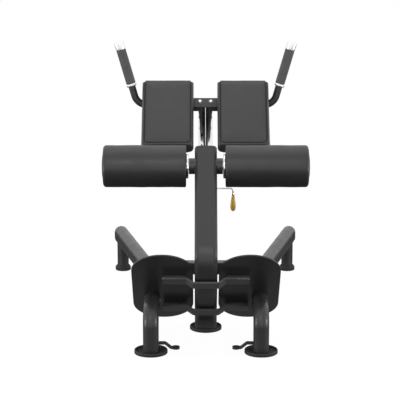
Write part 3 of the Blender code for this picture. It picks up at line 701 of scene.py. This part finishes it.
# The face starts this high, is drawn in fully by this much, and rolls back fully over this rise.
FACE_START = 0.030
FACE_INSET = 0.008
FACE_RISE = 0.022
# Height and frequency of the foam's slow waves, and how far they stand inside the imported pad.
WAVES = ((0.0009, 13), (0.0004, 37))
WAVES_INSIDE = 0.0008
CORNER_ROWS = 10
SIDE_ROWS = 28
SEAM_ROWS = (0.0040, 0.0022, 0.0012, 0.0004, -0.0004, -0.0012, -0.0022, -0.0040)


def from_seam(sizes, p):
    """How far a place on the pad's face is outside its seam, which runs up both sides and across the foot."""
    half = sizes.width / 2 - SEAM_SIDE - SEAM_CORNER
    foot = -sizes.length / 2 + SEAM_LOW + SEAM_CORNER
    across = abs(p.x) - half
    below = foot - p.y
    if across > 0 and below > 0:
        return math.hypot(across, below) - SEAM_CORNER
    return max(across, below) - SEAM_CORNER


def sewn(sizes, p):
    """Depth of the sewn groove and the slight welt that stands outside it."""
    gap = from_seam(sizes, p)
    welt = WELT_HIGH * math.exp(-((gap - WELT_OFF) / WELT_WIDE) ** 2)
    return welt - GROOVE_DEEP * math.exp(-(gap / GROOVE_WIDE) ** 2)


def head_roll(sizes, p):
    """How far the face rolls back at the pad's head and how far its panel stands past the sides there."""
    share = max((p.y - sizes.length / 2 + sizes.roll) / sizes.roll, 0) ** 2
    panel = min(max(0.5 - from_side(sizes, p) / PANEL_STEP, 0), 1)
    return -share * (sizes.roll_drop - sizes.roll_lift * panel), share * sizes.roll_lift * panel


def from_side(sizes, p):
    return abs(p.x) - (sizes.width / 2 - SEAM_SIDE)


def pad_outline(sizes, width, length, head, foot):
    """A rectangle with its own corners at head and foot, finely divided where the seams cross the head."""
    upper = rounded_rect(width, length, head, CORNER_ROWS, SIDE_ROWS)
    lower = rounded_rect(width, length, foot, CORNER_ROWS, SIDE_ROWS)
    points = [a if a.y > 0 else b for a, b in zip(upper, lower)]
    seam = sizes.width / 2 - SEAM_SIDE
    spots = [seam + step for step in SEAM_ROWS]
    spots += [(seam + SEAM_ROWS[-1]) * (1 - k / 6) for k in range(1, 6)]
    for k, spot in enumerate(spots):
        x = min(spot, width / 2 - head - 0.00002 * (k + 1))
        points[CORNER_ROWS + 1 + k].x = x
        points[CORNER_ROWS + SIDE_ROWS - 1 - k].x = -x
    return points


def pad_back(sizes, sign):
    """The middle of a pad's back."""
    return slope_point(sign * (sizes.inner_x + sizes.width / 2), sizes.middle, sizes.face - sizes.thickness)


def pad_shell(sizes, sign):
    """A boxed cushion from stacked outlines: pulled in at the back, sewn face panel, soft crown."""
    bm = bmesh.new()
    back = pad_back(sizes, sign)
    rings = []
    for inset, height in PAD_LEVELS:
        head = max(sizes.head_corner - inset * 0.25, 0.0030)
        foot = max(sizes.corner - inset * 0.25, 0.0035)
        width = sizes.width - 2 * inset
        length = sizes.length - 2 * inset
        widest = width / 2 - 0.0005
        outline = pad_outline(sizes, width, length, min(head, widest), min(foot, widest))
        on_face = height > FACE_START
        front = min(inset / FACE_INSET, 1) if on_face else 0
        share = min(height / FACE_START, 1)
        high = min(max(height - FACE_START, 0) / FACE_RISE, 1)
        ring = []
        for p in outline:
            place = back + RIGHT * p.x + ALONG * p.y
            give = sum(tall * noise.noise(place * often) for tall, often in WAVES)
            dent = sewn(sizes, p) * share if on_face and (front > 0.2 or p.y > 0) else 0
            drop, reach = head_roll(sizes, p)
            rise = height - WAVES_INSIDE * share + give * share + dent * front + drop * high
            slip = dent * (1 - front) if p.y > sizes.length * 0.45 else 0
            ring.append(bm.verts.new(place + OUT * rise + ALONG * (slip + reach * high)))
        rings.append(ring)
    for a, b in zip(rings, rings[1:]):
        bridge(bm, a, b)
    bm.faces.new(list(reversed(rings[0])))
    bm.faces.new(rings[-1])
    return bm


def stitch_tree():
    """Geometry nodes: short thread stitches set along a seam curve."""
    tree = bpy.data.node_groups.new("seam_stitches", "GeometryNodeTree")
    face = tree.interface
    face.new_socket("Geometry", in_out="INPUT", socket_type="NodeSocketGeometry")
    pitch = face.new_socket("Pitch", in_out="INPUT", socket_type="NodeSocketFloat")
    thread = face.new_socket("Thread", in_out="INPUT", socket_type="NodeSocketMaterial")
    face.new_socket("Geometry", in_out="OUTPUT", socket_type="NodeSocketGeometry")
    start = tree.nodes.new("NodeGroupInput")
    path = add(tree, "GeometryNodeMeshToCurve", Mesh=start.outputs["Geometry"])
    spaced = add(tree, "GeometryNodeResampleCurve", mode="LENGTH", Curve=path.outputs["Curve"],
                 Length=start.outputs["Pitch"])
    lie = add(tree, "GeometryNodeInputTangent")
    aim = add(tree, "FunctionNodeAlignRotationToVector", axis="Z", Vector=lie.outputs["Tangent"])
    stitch = add(tree, "GeometryNodeMeshCylinder", Vertices=8, Side_Segments=3, Radius=0.00045, Depth=0.0040)
    rows = add(tree, "GeometryNodeInstanceOnPoints", Points=spaced.outputs["Curve"],
               Instance=stitch.outputs["Mesh"], Rotation=aim.outputs["Rotation"])
    real = add(tree, "GeometryNodeRealizeInstances", Geometry=rows.outputs["Instances"])
    coloured = add(tree, "GeometryNodeSetMaterial", Geometry=real.outputs["Geometry"],
                   Material=start.outputs["Thread"])
    end = tree.nodes.new("NodeGroupOutput")
    tree.links.new(coloured.outputs["Geometry"], end.inputs[0])
    return tree, pitch.identifier, thread.identifier


def baked(name, host, tree, inputs, body):
    """Runs a geometry tree on a host mesh and keeps the result as a plain mesh on a body."""
    step = host.modifiers.new("repeat", "NODES")
    step.node_group = tree
    for identifier, value in inputs:
        step[identifier] = value
    view = bpy.context.evaluated_depsgraph_get()
    mesh = bpy.data.meshes.new_from_object(host.evaluated_get(view))
    mesh.name = name
    bpy.data.objects.remove(host, do_unlink=True)
    obj = bpy.data.objects.new(name, mesh)
    bpy.context.scene.collection.objects.link(obj)
    mesh.shade_smooth()
    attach(obj, body)
    return obj


def seam_line(sizes):
    """Places just inside the seam, up one side, across the foot and up the other."""
    side = sizes.width / 2 - SEAM_SIDE - STITCH_OFF
    foot = -sizes.length / 2 + SEAM_LOW + STITCH_OFF
    turn = STITCH_CORNER
    top = sizes.length / 2 - STITCH_TOP
    left = [Vector((-side, top)), Vector((-side, foot + turn))]
    for k in range(1, 9):
        angle = k / 8 * math.pi / 2
        left.append(Vector((-side + turn - turn * math.cos(angle), foot + turn - turn * math.sin(angle))))
    return left + [Vector((-p.x, p.y)) for p in reversed(left)]


class BENCH_OT_pads(bpy.types.Operator):
    """Makes the sewn thigh pads and the stitches along their seams"""
    bl_idname = "bench.pads"
    bl_label = "Thigh pads"

    def execute(self, context):
        sizes = context.scene.bench_pads
        tree, pitch, thread = stitch_tree()
        for side, sign in SIDES:
            shell = pad_shell(sizes, sign)
            pad = made("cushion_" + side, shell, "carriage", FINISH["vinyl"], "thigh_pad_" + side)
            seam = bmesh.new()
            centre = pad_back(sizes, sign) + OUT * STITCH_HIGH
            verts = [seam.verts.new(centre + RIGHT * p.x + ALONG * p.y) for p in seam_line(sizes)]
            for a, b in zip(verts, verts[1:]):
                seam.edges.new((a, b))
            mesh = bpy.data.meshes.new("seam")
            seam.to_mesh(mesh)
            seam.free()
            host = bpy.data.objects.new("seam", mesh)
            context.scene.collection.objects.link(host)
            inputs = ((pitch, sizes.stitch), (thread, FINISH["thread"]))
            row = baked("stitches_" + side, host, tree, inputs, "carriage")
        return {"FINISHED"}


# Rollers

# The skin is uneven by this much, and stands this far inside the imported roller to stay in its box.
SKIN_UNEVEN = 0.0007
SKIN_INSIDE = 0.0006
SKIN_ROWS = 20
SKIN_ROW = 0.0145
# The inner corner's radius as a share of the outer one.
INNER_ROUND = 0.4
AXLE_PLAY = 0.0006


def skin_profile(sizes):
    """A roller's foam skin from its inner end, along its length and round its outer end."""
    r, c = sizes.radius - SKIN_INSIDE, sizes.corner
    inner, outer = sizes.inner_x, sizes.outer_x
    turns = [k * math.pi / 16 for k in range(9)]
    arc = [(c * (1 - math.cos(t)), c * (1 - math.sin(t))) for t in turns]
    profile = [(inner + 0.0008, sizes.core + GAP), (inner, sizes.core + 0.004)]
    profile += [(inner + a * INNER_ROUND, r - b * INNER_ROUND) for a, b in arc]
    profile += [(inner + c + k * SKIN_ROW, r) for k in range(SKIN_ROWS)]
    profile += [(outer - a, r - b) for a, b in reversed(arc)]
    return profile + [(outer, sizes.core + 0.004), (outer - 0.0008, sizes.core + GAP)]


def flange_profile(sizes, bore):
    """The bright disc at a roller's inner end, its two edges rounded."""
    high, w = sizes.inner_x - GAP, sizes.flange
    low = high - sizes.flange_thick
    return [(low, bore), (low, w - 0.0016), (low + 0.0005, w - 0.0005), (low + 0.0016, w), (high - 0.0016, w),
            (high - 0.0005, w - 0.0005), (high, w - 0.0016), (high, bore)]


def core_profile(sizes, bore):
    """The plastic core inside the foam, with the domed cap at its outer end."""
    inner, outer, cap = sizes.inner_x, sizes.outer_x, sizes.cap
    end = outer + 0.004
    seat = outer - 0.004
    return [(inner + GAP, bore), (inner + GAP, sizes.core), (outer + GAP, sizes.core),
            (outer + GAP, cap - 0.0008), (outer + 0.0010, cap), (outer + 0.0022, cap - 0.0008),
            (outer + 0.0032, cap - 0.0040), (end - 0.0003, cap - 0.0080), (end, cap - 0.0120), (end, 0),
            (seat, 0), (seat, bore)]


class BENCH_OT_rollers(bpy.types.Operator):
    """Makes the skinned foam rollers with their rounded ends"""
    bl_idname = "bench.rollers"
    bl_label = "Calf rollers"

    def execute(self, context):
        sizes = context.scene.bench_rollers
        origin = Vector((0, sizes.axle_y, sizes.axle_z))
        bore = sizes.axle + AXLE_PLAY
        for side, sign in SIDES:
            body, way = "roller_" + side, RIGHT * sign
            foam = turned(skin_profile(sizes), origin, way, AWAY, 96, SKIN_UNEVEN)
            roll = made("roller_" + side, foam, body, FINISH["foam"], "roller_foam_" + side)
            disc = turned(flange_profile(sizes, bore), origin, way, AWAY, 128)
            made("turned_flange_" + side, disc, body, FINISH["chrome"], "roller_flange_" + side, crease=60)
            core = turned(core_profile(sizes, bore), origin, way, AWAY, 96)
            made("moulded_core_" + side, core, body, FINISH["plastic"], "roller_core_" + side, crease=50)
        return {"FINISHED"}


# Handles

def handle_profiles(sizes, long):
    """The grip, ring and tip of a handle as profiles along it."""
    bore = sizes.tube + GAP
    r = sizes.grip
    low, high = sizes.stem, long - sizes.tip_long - GAP
    grip = [(low, bore), (low, r - 0.0024), (low + 0.0006, r - 0.0010), (low + 0.0018, r - 0.0002),
            (low + 0.0034, r), (high - 0.0034, r), (high - 0.0018, r - 0.0002), (high - 0.0006, r - 0.0010),
            (high, r - 0.0024), (high, bore)]
    top, w = low - GAP, sizes.ring
    foot = top - sizes.ring_long
    ring = [(foot, bore), (foot, w - 0.0040), (foot + 0.0006, w - 0.0026), (foot + 0.0018, w - 0.0012),
            (foot + 0.0036, w - 0.0003), (foot + 0.0060, w), (top - 0.0030, w - 0.0002),
            (top - 0.0012, w - 0.0009), (top - 0.0003, w - 0.0018), (top, w - 0.0026), (top, bore)]
    end, t = long - sizes.tip_long, sizes.tip
    tip = [(end, 0), (end, t - 0.0022), (end + 0.0008, t - 0.0010), (end + 0.0040, t - 0.0006),
           (end + 0.0044, t - 0.0014), (end + 0.0056, t - 0.0014), (end + 0.0060, t - 0.0005),
           (long - 0.0060, t), (long - 0.0040, t - 0.0002), (long - 0.0020, t - 0.0014),
           (long - 0.0006, t - 0.0036), (long, t - 0.0063), (long, 0.0060), (long - 0.0010, 0.0050),
           (long - 0.0010, 0)]
    return (("grip", grip, "grip"), ("grip_ring", ring, "aluminium"), ("grip_tip", tip, "aluminium"))


class BENCH_OT_handles(bpy.types.Operator):
    """Makes the bent handles with their grips, rings and turned tips"""
    bl_idname = "bench.handles"
    bl_label = "Handles"

    def execute(self, context):
        sizes = context.scene.bench_handles
        long = sizes.rise / math.cos(sizes.lean)
        bar = slope_point(0, sizes.bar_along, sizes.bar_out)
        for side, sign in SIDES:
            lean = Vector((sign * math.sin(sizes.lean), 0, math.cos(sizes.lean)))
            elbow = Vector((sign * sizes.elbow_x, bar.y, bar.z))
            start = Vector((sign * sizes.start_x, bar.y, bar.z))
            top = elbow + lean * (long - sizes.tip_long - GAP)
            path = frames(bent_path([start, elbow, top], [sizes.bend], 28), AWAY)
            made("bent_handle_" + side, swept(circle(sizes.tube, 64), path), "carriage", FINISH["coat"],
                 "handle_" + side, crease=40)
            for name, profile, finish in handle_profiles(sizes, long):
                node = "%s_%s" % (name, side)
                shape = turned(profile, elbow, lean, AWAY, 96)
                made("turned_" + node, shape, "carriage", FINISH[finish], node, crease=38)
        return {"FINISHED"}


# Pull pin

class BENCH_OT_pin(bpy.types.Operator):
    """Makes the pull pin's bent wire, its ferrule and the drop-shaped grip"""
    bl_idname = "bench.pin"
    bl_label = "Pull pin"

    def execute(self, context):
        sizes = context.scene.bench_pin
        at = slope_point(0, sizes.at, sizes.beam_out)
        elbow = at + PIN_WAY * (sizes.tail + sizes.elbow)
        out = Vector((sizes.out_x, elbow.y, elbow.z))
        low = out - UP * sizes.drop
        corners = [at + PIN_WAY * (sizes.tail + GAP), elbow, out, low]
        path = bent_path(corners, [sizes.elbow_bend, sizes.hook_bend], 14)
        wire = swept(circle(sizes.rod, 24), frames(path, DIAMOND))
        end = sizes.ferrule_long
        cone = [(-0.0012, 0), (-0.0010, 0.0034), (0.0006, 0.0040), (end - 0.0010, 0.0054),
                (end - 0.0002, 0.0052), (end, 0)]
        ferrule = turned(cone, low, -UP, RIGHT, 48)
        made("pull_wire", joined(wire, ferrule), "pull_pin", FINISH["chrome"], "pull_rod", crease=40)
        g, n = sizes.grip, sizes.grip_long
        drop = [(0, 0), (0, 0.0046), (0.0006, 0.0052), (0.06 * n, 0.0056), (0.14 * n, 0.0062),
                (0.24 * n, 0.0071), (0.35 * n, 0.0083), (0.46 * n, 0.0095), (0.56 * n, 0.0104), (0.66 * n, g),
                (0.76 * n, g * 0.985), (0.84 * n, g * 0.92), (0.90 * n, g * 0.81), (0.945 * n, g * 0.66),
                (0.975 * n, g * 0.47), (0.993 * n, g * 0.24), (n, 0)]
        shape = turned(drop, low - UP * (end + GAP), -UP, RIGHT, 64)
        made("drop_grip", shape, "pull_pin", FINISH["orange"], "pull_grip", crease=50)
        return {"FINISHED"}


# Sliding post

BORE_CORNER = 0.0008
# Keeps a slot's two end arcs from meeting.
HAIR = 0.0001


def slotted(outer, holes, name):
    """The outer tube with every hole cut right through it."""
    objects = []
    for title, bm in ((name, outer), (name + "_holes", holes)):
        mesh = bpy.data.meshes.new(title)
        bm.to_mesh(mesh)
        bm.free()
        objects.append(bpy.data.objects.new(title, mesh))
        bpy.context.scene.collection.objects.link(objects[-1])
    tube, cutter = objects
    step = tube.modifiers.new("slots", "BOOLEAN")
    step.operation = "DIFFERENCE"
    step.solver = "EXACT"
    step.object = cutter
    mesh = bpy.data.meshes.new_from_object(tube.evaluated_get(bpy.context.evaluated_depsgraph_get()))
    result = bmesh.new()
    result.from_mesh(mesh)
    bpy.data.meshes.remove(mesh)
    for obj in objects:
        bpy.data.objects.remove(obj, do_unlink=True)
    return result


class BENCH_OT_post(bpy.types.Operator):
    """Makes the chromed square post with its tight rolled corners and its row of slots"""
    bl_idname = "bench.post"
    bl_label = "Post"

    def execute(self, context):
        sizes, pin = context.scene.bench_post, context.scene.bench_pin
        heights = [to_slope(v.co).y for v in FRAME["nodes"]["post"].data.vertices]
        low, high = (slope_point(0, place, pin.beam_out) for place in (min(heights), max(heights)))
        outer = rounded_rect(sizes.width, sizes.width, sizes.corner, 6)
        wide = sizes.width - 2 * sizes.wall
        tube = swept(outer, straight(low, high, DIAMOND), rounded_rect(wide, wide, BORE_CORNER, 6))
        holes = bmesh.new()
        outline = rounded_rect(sizes.slot_wide, sizes.slot_long, sizes.slot_wide / 2 - HAIR, 8)
        for step in range(-sizes.below, sizes.above + 1):
            at = slope_point(0, pin.at + step * sizes.pitch, pin.beam_out)
            reach = PIN_WAY * sizes.width
            joined(holes, swept(outline, straight(at - reach, at + reach, DIAMOND)))
        made("slotted_post", slotted(tube, holes, "post"), "carriage", FINISH["chrome"], "post", crease=30)
        return {"FINISHED"}


# Feet, straps and bolts

STRAP_EDGE = 0.0015
BOLT_HIGH = 0.0068
# The points of a bolt's profile that are turned as a hexagon: the wall of its socket.
SOCKET_RINGS = (13, 14)


def dish(sizes):
    """Profile of a round foot: a flat underside, a rolled rim and a dished floor."""
    r, h, rim, floor_at = sizes.foot, sizes.foot_high, sizes.foot_rim, sizes.foot_floor
    bed = r - rim
    return [(0, 0), (0, r - 0.0030), (0.0006, r - 0.0012), (0.0022, r), (h - 0.0030, r - 0.0002),
            (h - 0.0012, r - 0.0008), (h - 0.0002, r - 0.0019), (h, r - 0.0028), (h - 0.0003, bed + 0.0004),
            (h - 0.0014, bed), (floor_at + 0.0020, bed - 0.0014), (floor_at + 0.0004, bed - 0.0028),
            (floor_at, bed - 0.0048), (floor_at, 0)]


def strap_body(sizes, tubes, out):
    """A flat bar across both plates, stood off them on blocks and stepped forward round the column."""
    back = sizes.plate_at - sizes.strap_stand - sizes.strap_thick / 2
    front = tubes.column_face_along - sizes.packing - sizes.strap_thick / 2
    turns = ((sizes.strap_reach, back), (sizes.step_outer, back), (sizes.step_inner, front))
    half = [slope_point(x, along, out) for x, along in turns]
    corners = half + [mirror_x(p, -1) for p in reversed(half)]
    outline = rounded_rect(sizes.strap_wide, sizes.strap_thick, STRAP_EDGE, 4)
    bar = swept(outline, frames(bent_path(corners, [sizes.strap_bend] * 4, 14), OUT))
    low = out - sizes.block_drop
    places = [(sign * sizes.block_x, sizes.block_wide, back, sizes.plate_at) for _, sign in SIDES]
    places.append((0, sizes.packing_wide, front, tubes.column_face_along))
    blocks = [swept(rounded_rect(wide, sizes.block_high, STRAP_EDGE, 4),
                    straight(slope_point(x, start, low), slope_point(x, end - GAP, low), RIGHT))
              for x, wide, start, end in places]
    return joined(bar, *blocks)


def bolt_body(x, along, seat, facing, shank, head):
    """A button head with a hexagon socket on a plain washer."""
    profile = [(-shank, 0), (-shank, 0.0042), (GAP, 0.0042), (GAP, head - 0.0004), (GAP + 0.0004, head),
               (0.0014, head), (0.0018, head - 0.0004), (0.0018, 0.0076), (0.0026, 0.0079), (0.0038, 0.0075),
               (0.0050, 0.0066), (0.0060, 0.0053), (0.0066, 0.0040), (0.0066, 0.0027), (0.0034, 0.0027),
               (0.0034, 0)]
    return turned(profile, slope_point(x, along, seat), OUT * facing, RIGHT, 48, socket=SOCKET_RINGS)


class BENCH_OT_feet(bpy.types.Operator):
    """Makes the dished rubber feet"""
    bl_idname = "bench.feet"
    bl_label = "Feet"

    def execute(self, context):
        sizes = context.scene.bench_fittings
        for node in ("foot_middle", "foot_near_left", "foot_near_right"):
            low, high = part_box(node)
            centre = Vector(((low[0] + high[0]) / 2, (low[1] + high[1]) / 2, 0))
            foot = turned(dish(sizes), centre, UP, RIGHT, 128)
            made("dished_" + node, foot, "frame", FINISH["rubber"], node, crease=50)
        return {"FINISHED"}


class BENCH_OT_straps(bpy.types.Operator):
    """Makes the two stepped straps behind the foot plates"""
    bl_idname = "bench.straps"
    bl_label = "Straps"

    def execute(self, context):
        sizes, tubes = context.scene.bench_fittings, context.scene.bench_tubes
        for name, out in (("upper", sizes.strap_upper), ("lower", sizes.strap_lower)):
            strap = strap_body(sizes, tubes, out)
            flattened(made("stepped_strap_" + name, strap, "frame", FINISH["strap"], "strap_" + name))
        return {"FINISHED"}


class BENCH_OT_bolts(bpy.types.Operator):
    """Makes the socket bolts of the pads and the bar"""
    bl_idname = "bench.bolts"
    bl_label = "Bolts"

    def execute(self, context):
        head = context.scene.bench_fittings.head
        for side, _ in SIDES:
            for node, facing in (("bar_bolt_", 1), ("pad_bolt_inner_", -1), ("pad_bolt_outer_", -1)):
                places = [to_slope(v.co) for v in FRAME["nodes"][node + side].data.vertices]
                outs = [p.z for p in places]
                middle = [(min(p[k] for p in places) + max(p[k] for p in places)) / 2 for k in (0, 1)]
                seat = (max(outs) - BOLT_HIGH) if facing > 0 else (min(outs) + BOLT_HIGH)
                shank = max(outs) - min(outs) - BOLT_HIGH
                bolt = bolt_body(middle[0], middle[1], seat, facing, shank, head)
                made("socket_" + node + side, bolt, "carriage", FINISH["chrome"], node + side, crease=38)
        return {"FINISHED"}


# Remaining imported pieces

def to_slope(place):
    """A place as (x, along the slope, out from it)."""
    away = Vector(place) - SLOPE_START
    return Vector((away.x, away.dot(ALONG), away.dot(OUT)))


def softened(node, packed, edge):
    """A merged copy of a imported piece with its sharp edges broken."""
    bm = bmesh.new()
    bm.from_mesh(packed.data)
    bmesh.ops.remove_doubles(bm, verts=bm.verts[:], dist=0.00001)
    bmesh.ops.dissolve_limit(bm, angle_limit=math.radians(0.6), verts=bm.verts[:], edges=bm.edges[:])
    obj = made("edged_" + node, bm, body_of(packed)[0], FINISH[finish_of(node)], node)
    bevel = obj.modifiers.new("broken_edges", "BEVEL")
    bevel.width = edge
    bevel.segments = 2
    bevel.limit_method = "ANGLE"
    bevel.angle_limit = math.radians(34)
    return flattened(obj)


class BENCH_OT_fittings(bpy.types.Operator):
    """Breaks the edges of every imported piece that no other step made, and gives it its finish"""
    bl_idname = "bench.fittings"
    bl_label = "Other pieces"

    def execute(self, context):
        edge = context.scene.bench_fittings.edge
        for node, packed in FRAME["nodes"].items():
            if node not in DRESSED:
                softened(node, packed, edge)
        return {"FINISHED"}


# Stage, lights and camera

# Each lamp's name, place, target, width in metres and power in watts. They suit the photograph's light.
SOFTBOXES = (
    ("front_softbox", (-0.6, -3.7, 3.2), (0, 0.0, 0.5), 1.8, 22.0),
    ("fill_softbox", (0.2, -6.4, 1.2), (0, 0.0, 0.4), 2.6, 12.0),
    ("top_softbox", (-0.2, 0.8, 3.6), (0, 0.3, 0.4), 2.4, 10.0),
    ("side_softbox_left", (-3.2, -0.6, 0.35), (0, -0.3, 0.2), 0.6, 26.0),
    ("side_softbox_right", (3.2, -0.6, 0.35), (0, -0.3, 0.2), 0.6, 26.0),
)
# How bright the floor looks in a reflection, by its distance in metres. It is darker close by: a painted
# shade for the shadow the object casts on the floor there.
MIRROR_STEPS = ((0.0, 0.30), (0.34, 0.17), (0.62, 0.06), (2.20, 0.12), (4.00, 0.94), (5.00, 0.94))
# The floor's own glow and paleness to the camera, and its paleness as a source of bounced light.
FLOOR_GLOW = 0.96
FLOOR_SEEN = 0.11
FLOOR_BOUNCE = 0.20
FLOOR_BELOW = -0.0005
FLOOR_CORNERS = ((-30, -12), (30, -12), (30, 40), (-30, 40))
# The dome's strength as a light; as a background and in reflections it is plain white.
DOME_LIGHT = 0.34
CAMERA_AT = (-0.022, -5.878, 1.824)
CAMERA_DOWN = math.radians(12.65)
SENSOR = 36
LENS = 144


class BENCH_OT_stage(bpy.types.Operator):
    """Sets the pale floor, the soft studio light and the camera at the photograph's angle"""
    bl_idname = "bench.stage"
    bl_label = "Stage"

    def execute(self, context):
        floor()
        world()
        for softbox in SOFTBOXES:
            lamp(*softbox)
        camera()
        return {"FINISHED"}


def floor():
    """White to the camera but for the shadows, and dark to what looks at it from close by: a painted shade in
    its reflections.
    """
    bm = bmesh.new()
    bm.faces.new([bm.verts.new((x, y, FLOOR_BELOW)) for x, y in FLOOR_CORNERS])
    mesh = bpy.data.meshes.new("studio_floor")
    bm.to_mesh(mesh)
    bm.free()
    plane = bpy.data.objects.new("studio_floor", mesh)
    bpy.context.scene.collection.objects.link(plane)
    mat, tree = blank("pale_floor")
    rays = add(tree, "ShaderNodeLightPath")
    reach = add(tree, "ShaderNodeMapRange", Value=rays.outputs["Ray Length"])
    reach.inputs["From Max"].default_value = MIRROR_STEPS[-1][0]
    near = add(tree, "ShaderNodeValToRGB", Fac=reach.outputs["Result"])
    for _ in MIRROR_STEPS[2:]:
        near.color_ramp.elements.new(0.5)
    for element, (away, grey) in zip(near.color_ramp.elements, MIRROR_STEPS):
        element.position = away / MIRROR_STEPS[-1][0]
        element.color = (grey, grey, grey, 1)
    grey = add(tree, "ShaderNodeBsdfDiffuse", Color=(*[FLOOR_BOUNCE] * 3, 1))
    # In reflections the floor glows grey by distance, the painted shade of MIRROR_STEPS.
    mirrored = add(tree, "ShaderNodeEmission", Color=near.outputs["Color"], Strength=1.0)
    white = add(tree, "ShaderNodeEmission", Color=(1, 1, 1, 1), Strength=FLOOR_GLOW)
    pale = add(tree, "ShaderNodeBsdfDiffuse", Color=(*[FLOOR_SEEN] * 3, 1))
    seen = tree.nodes.new("ShaderNodeAddShader")
    tree.links.new(white.outputs[0], seen.inputs[0])
    tree.links.new(pale.outputs[0], seen.inputs[1])
    unseen = mixed(tree, rays.outputs["Is Glossy Ray"], grey, mirrored)
    close(mat, tree, mixed(tree, rays.outputs["Is Camera Ray"], unseen, seen))
    mesh.materials.append(mat)


def mixed(tree, factor, first, second):
    both = tree.nodes.new("ShaderNodeMixShader")
    tree.links.new(factor, both.inputs[0])
    tree.links.new(first.outputs[0], both.inputs[1])
    tree.links.new(second.outputs[0], both.inputs[2])
    return both


def world():
    """An even white dome, about a third as bright to diffuse rays as it is as a background."""
    sky = bpy.data.worlds.new("studio_white")
    bpy.context.scene.world = sky
    sky.use_nodes = True
    tree = sky.node_tree
    tree.nodes.clear()
    rays = add(tree, "ShaderNodeLightPath")
    soft = add(tree, "ShaderNodeBackground", Color=(1, 1, 1, 1), Strength=DOME_LIGHT)
    white = add(tree, "ShaderNodeBackground", Color=(1, 1, 1, 1), Strength=1.0)
    lit = mixed(tree, rays.outputs["Is Diffuse Ray"], white, soft)
    output = tree.nodes.new("ShaderNodeOutputWorld")
    tree.links.new(lit.outputs[0], output.inputs[0])


def lamp(name, place, target, size, power):
    light = bpy.data.lights.new(name, "AREA")
    light.shape = "DISK"
    light.size = size
    light.energy = power
    obj = bpy.data.objects.new(name, light)
    bpy.context.scene.collection.objects.link(obj)
    obj.location = place
    obj.rotation_euler = (Vector(target) - Vector(place)).to_track_quat("-Z", "Y").to_euler()


def camera():
    lens = bpy.data.cameras.new("photo_camera")
    lens.sensor_width = SENSOR
    lens.lens = LENS
    lens.clip_end = 100
    obj = bpy.data.objects.new("photo_camera", lens)
    bpy.context.scene.collection.objects.link(obj)
    obj.location = CAMERA_AT
    obj.rotation_euler = (math.radians(90) - CAMERA_DOWN, 0, 0)
    bpy.context.scene.camera = obj
    bpy.context.scene.view_settings.view_transform = "Standard"


# Add-on

class BENCH_PT_panel(bpy.types.Panel):
    """Sizes, colours and build buttons of the bench"""
    bl_label = "Bench"
    bl_idname = "BENCH_PT_panel"
    bl_space_type = "VIEW_3D"
    bl_region_type = "UI"
    bl_category = "Bench"

    def draw(self, context):
        scene = context.scene
        for title in GROUPS:
            group = getattr(scene, title)
            box = self.layout.box()
            box.label(text=title.replace("bench_", "").capitalize())
            for key in group.bl_rna.properties.keys():
                if key not in ("rna_type", "name"):
                    box.prop(group, key)
        for step in STEPS:
            self.layout.operator(step)


STEPS = ("bench.tubes", "bench.pads", "bench.rollers", "bench.handles", "bench.pin", "bench.post",
         "bench.feet", "bench.straps", "bench.bolts", "bench.fittings", "bench.stage")
GROUPS = {
    "bench_tubes": TubeSizes, "bench_pads": PadSizes, "bench_rollers": RollerSizes,
    "bench_handles": HandleSizes, "bench_pin": PinSizes, "bench_post": PostSizes,
    "bench_fittings": FittingSizes, "bench_finishes": Finishes,
}
CLASSES = tuple(GROUPS.values()) + (
    BENCH_OT_tubes, BENCH_OT_pads, BENCH_OT_rollers, BENCH_OT_handles, BENCH_OT_pin, BENCH_OT_post,
    BENCH_OT_feet, BENCH_OT_straps, BENCH_OT_bolts, BENCH_OT_fittings, BENCH_OT_stage, BENCH_PT_panel,
)
# The finishes by name, what the frame holds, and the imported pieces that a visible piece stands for.
FINISH = {}
FRAME = {}
DRESSED = set()


def register():
    for cls in CLASSES:
        bpy.utils.register_class(cls)
    for name, group in GROUPS.items():
        setattr(bpy.types.Scene, name, PointerProperty(type=group))


def unregister():
    for name in GROUPS:
        delattr(bpy.types.Scene, name)
    for cls in reversed(CLASSES):
        bpy.utils.unregister_class(cls)


def main():
    register()
    FRAME.update(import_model())
    FINISH.update(make_finishes())
    for step in STEPS:
        family, name = step.split(".")
        getattr(getattr(bpy.ops, family), name)()


if __name__ == "__main__":
    main()
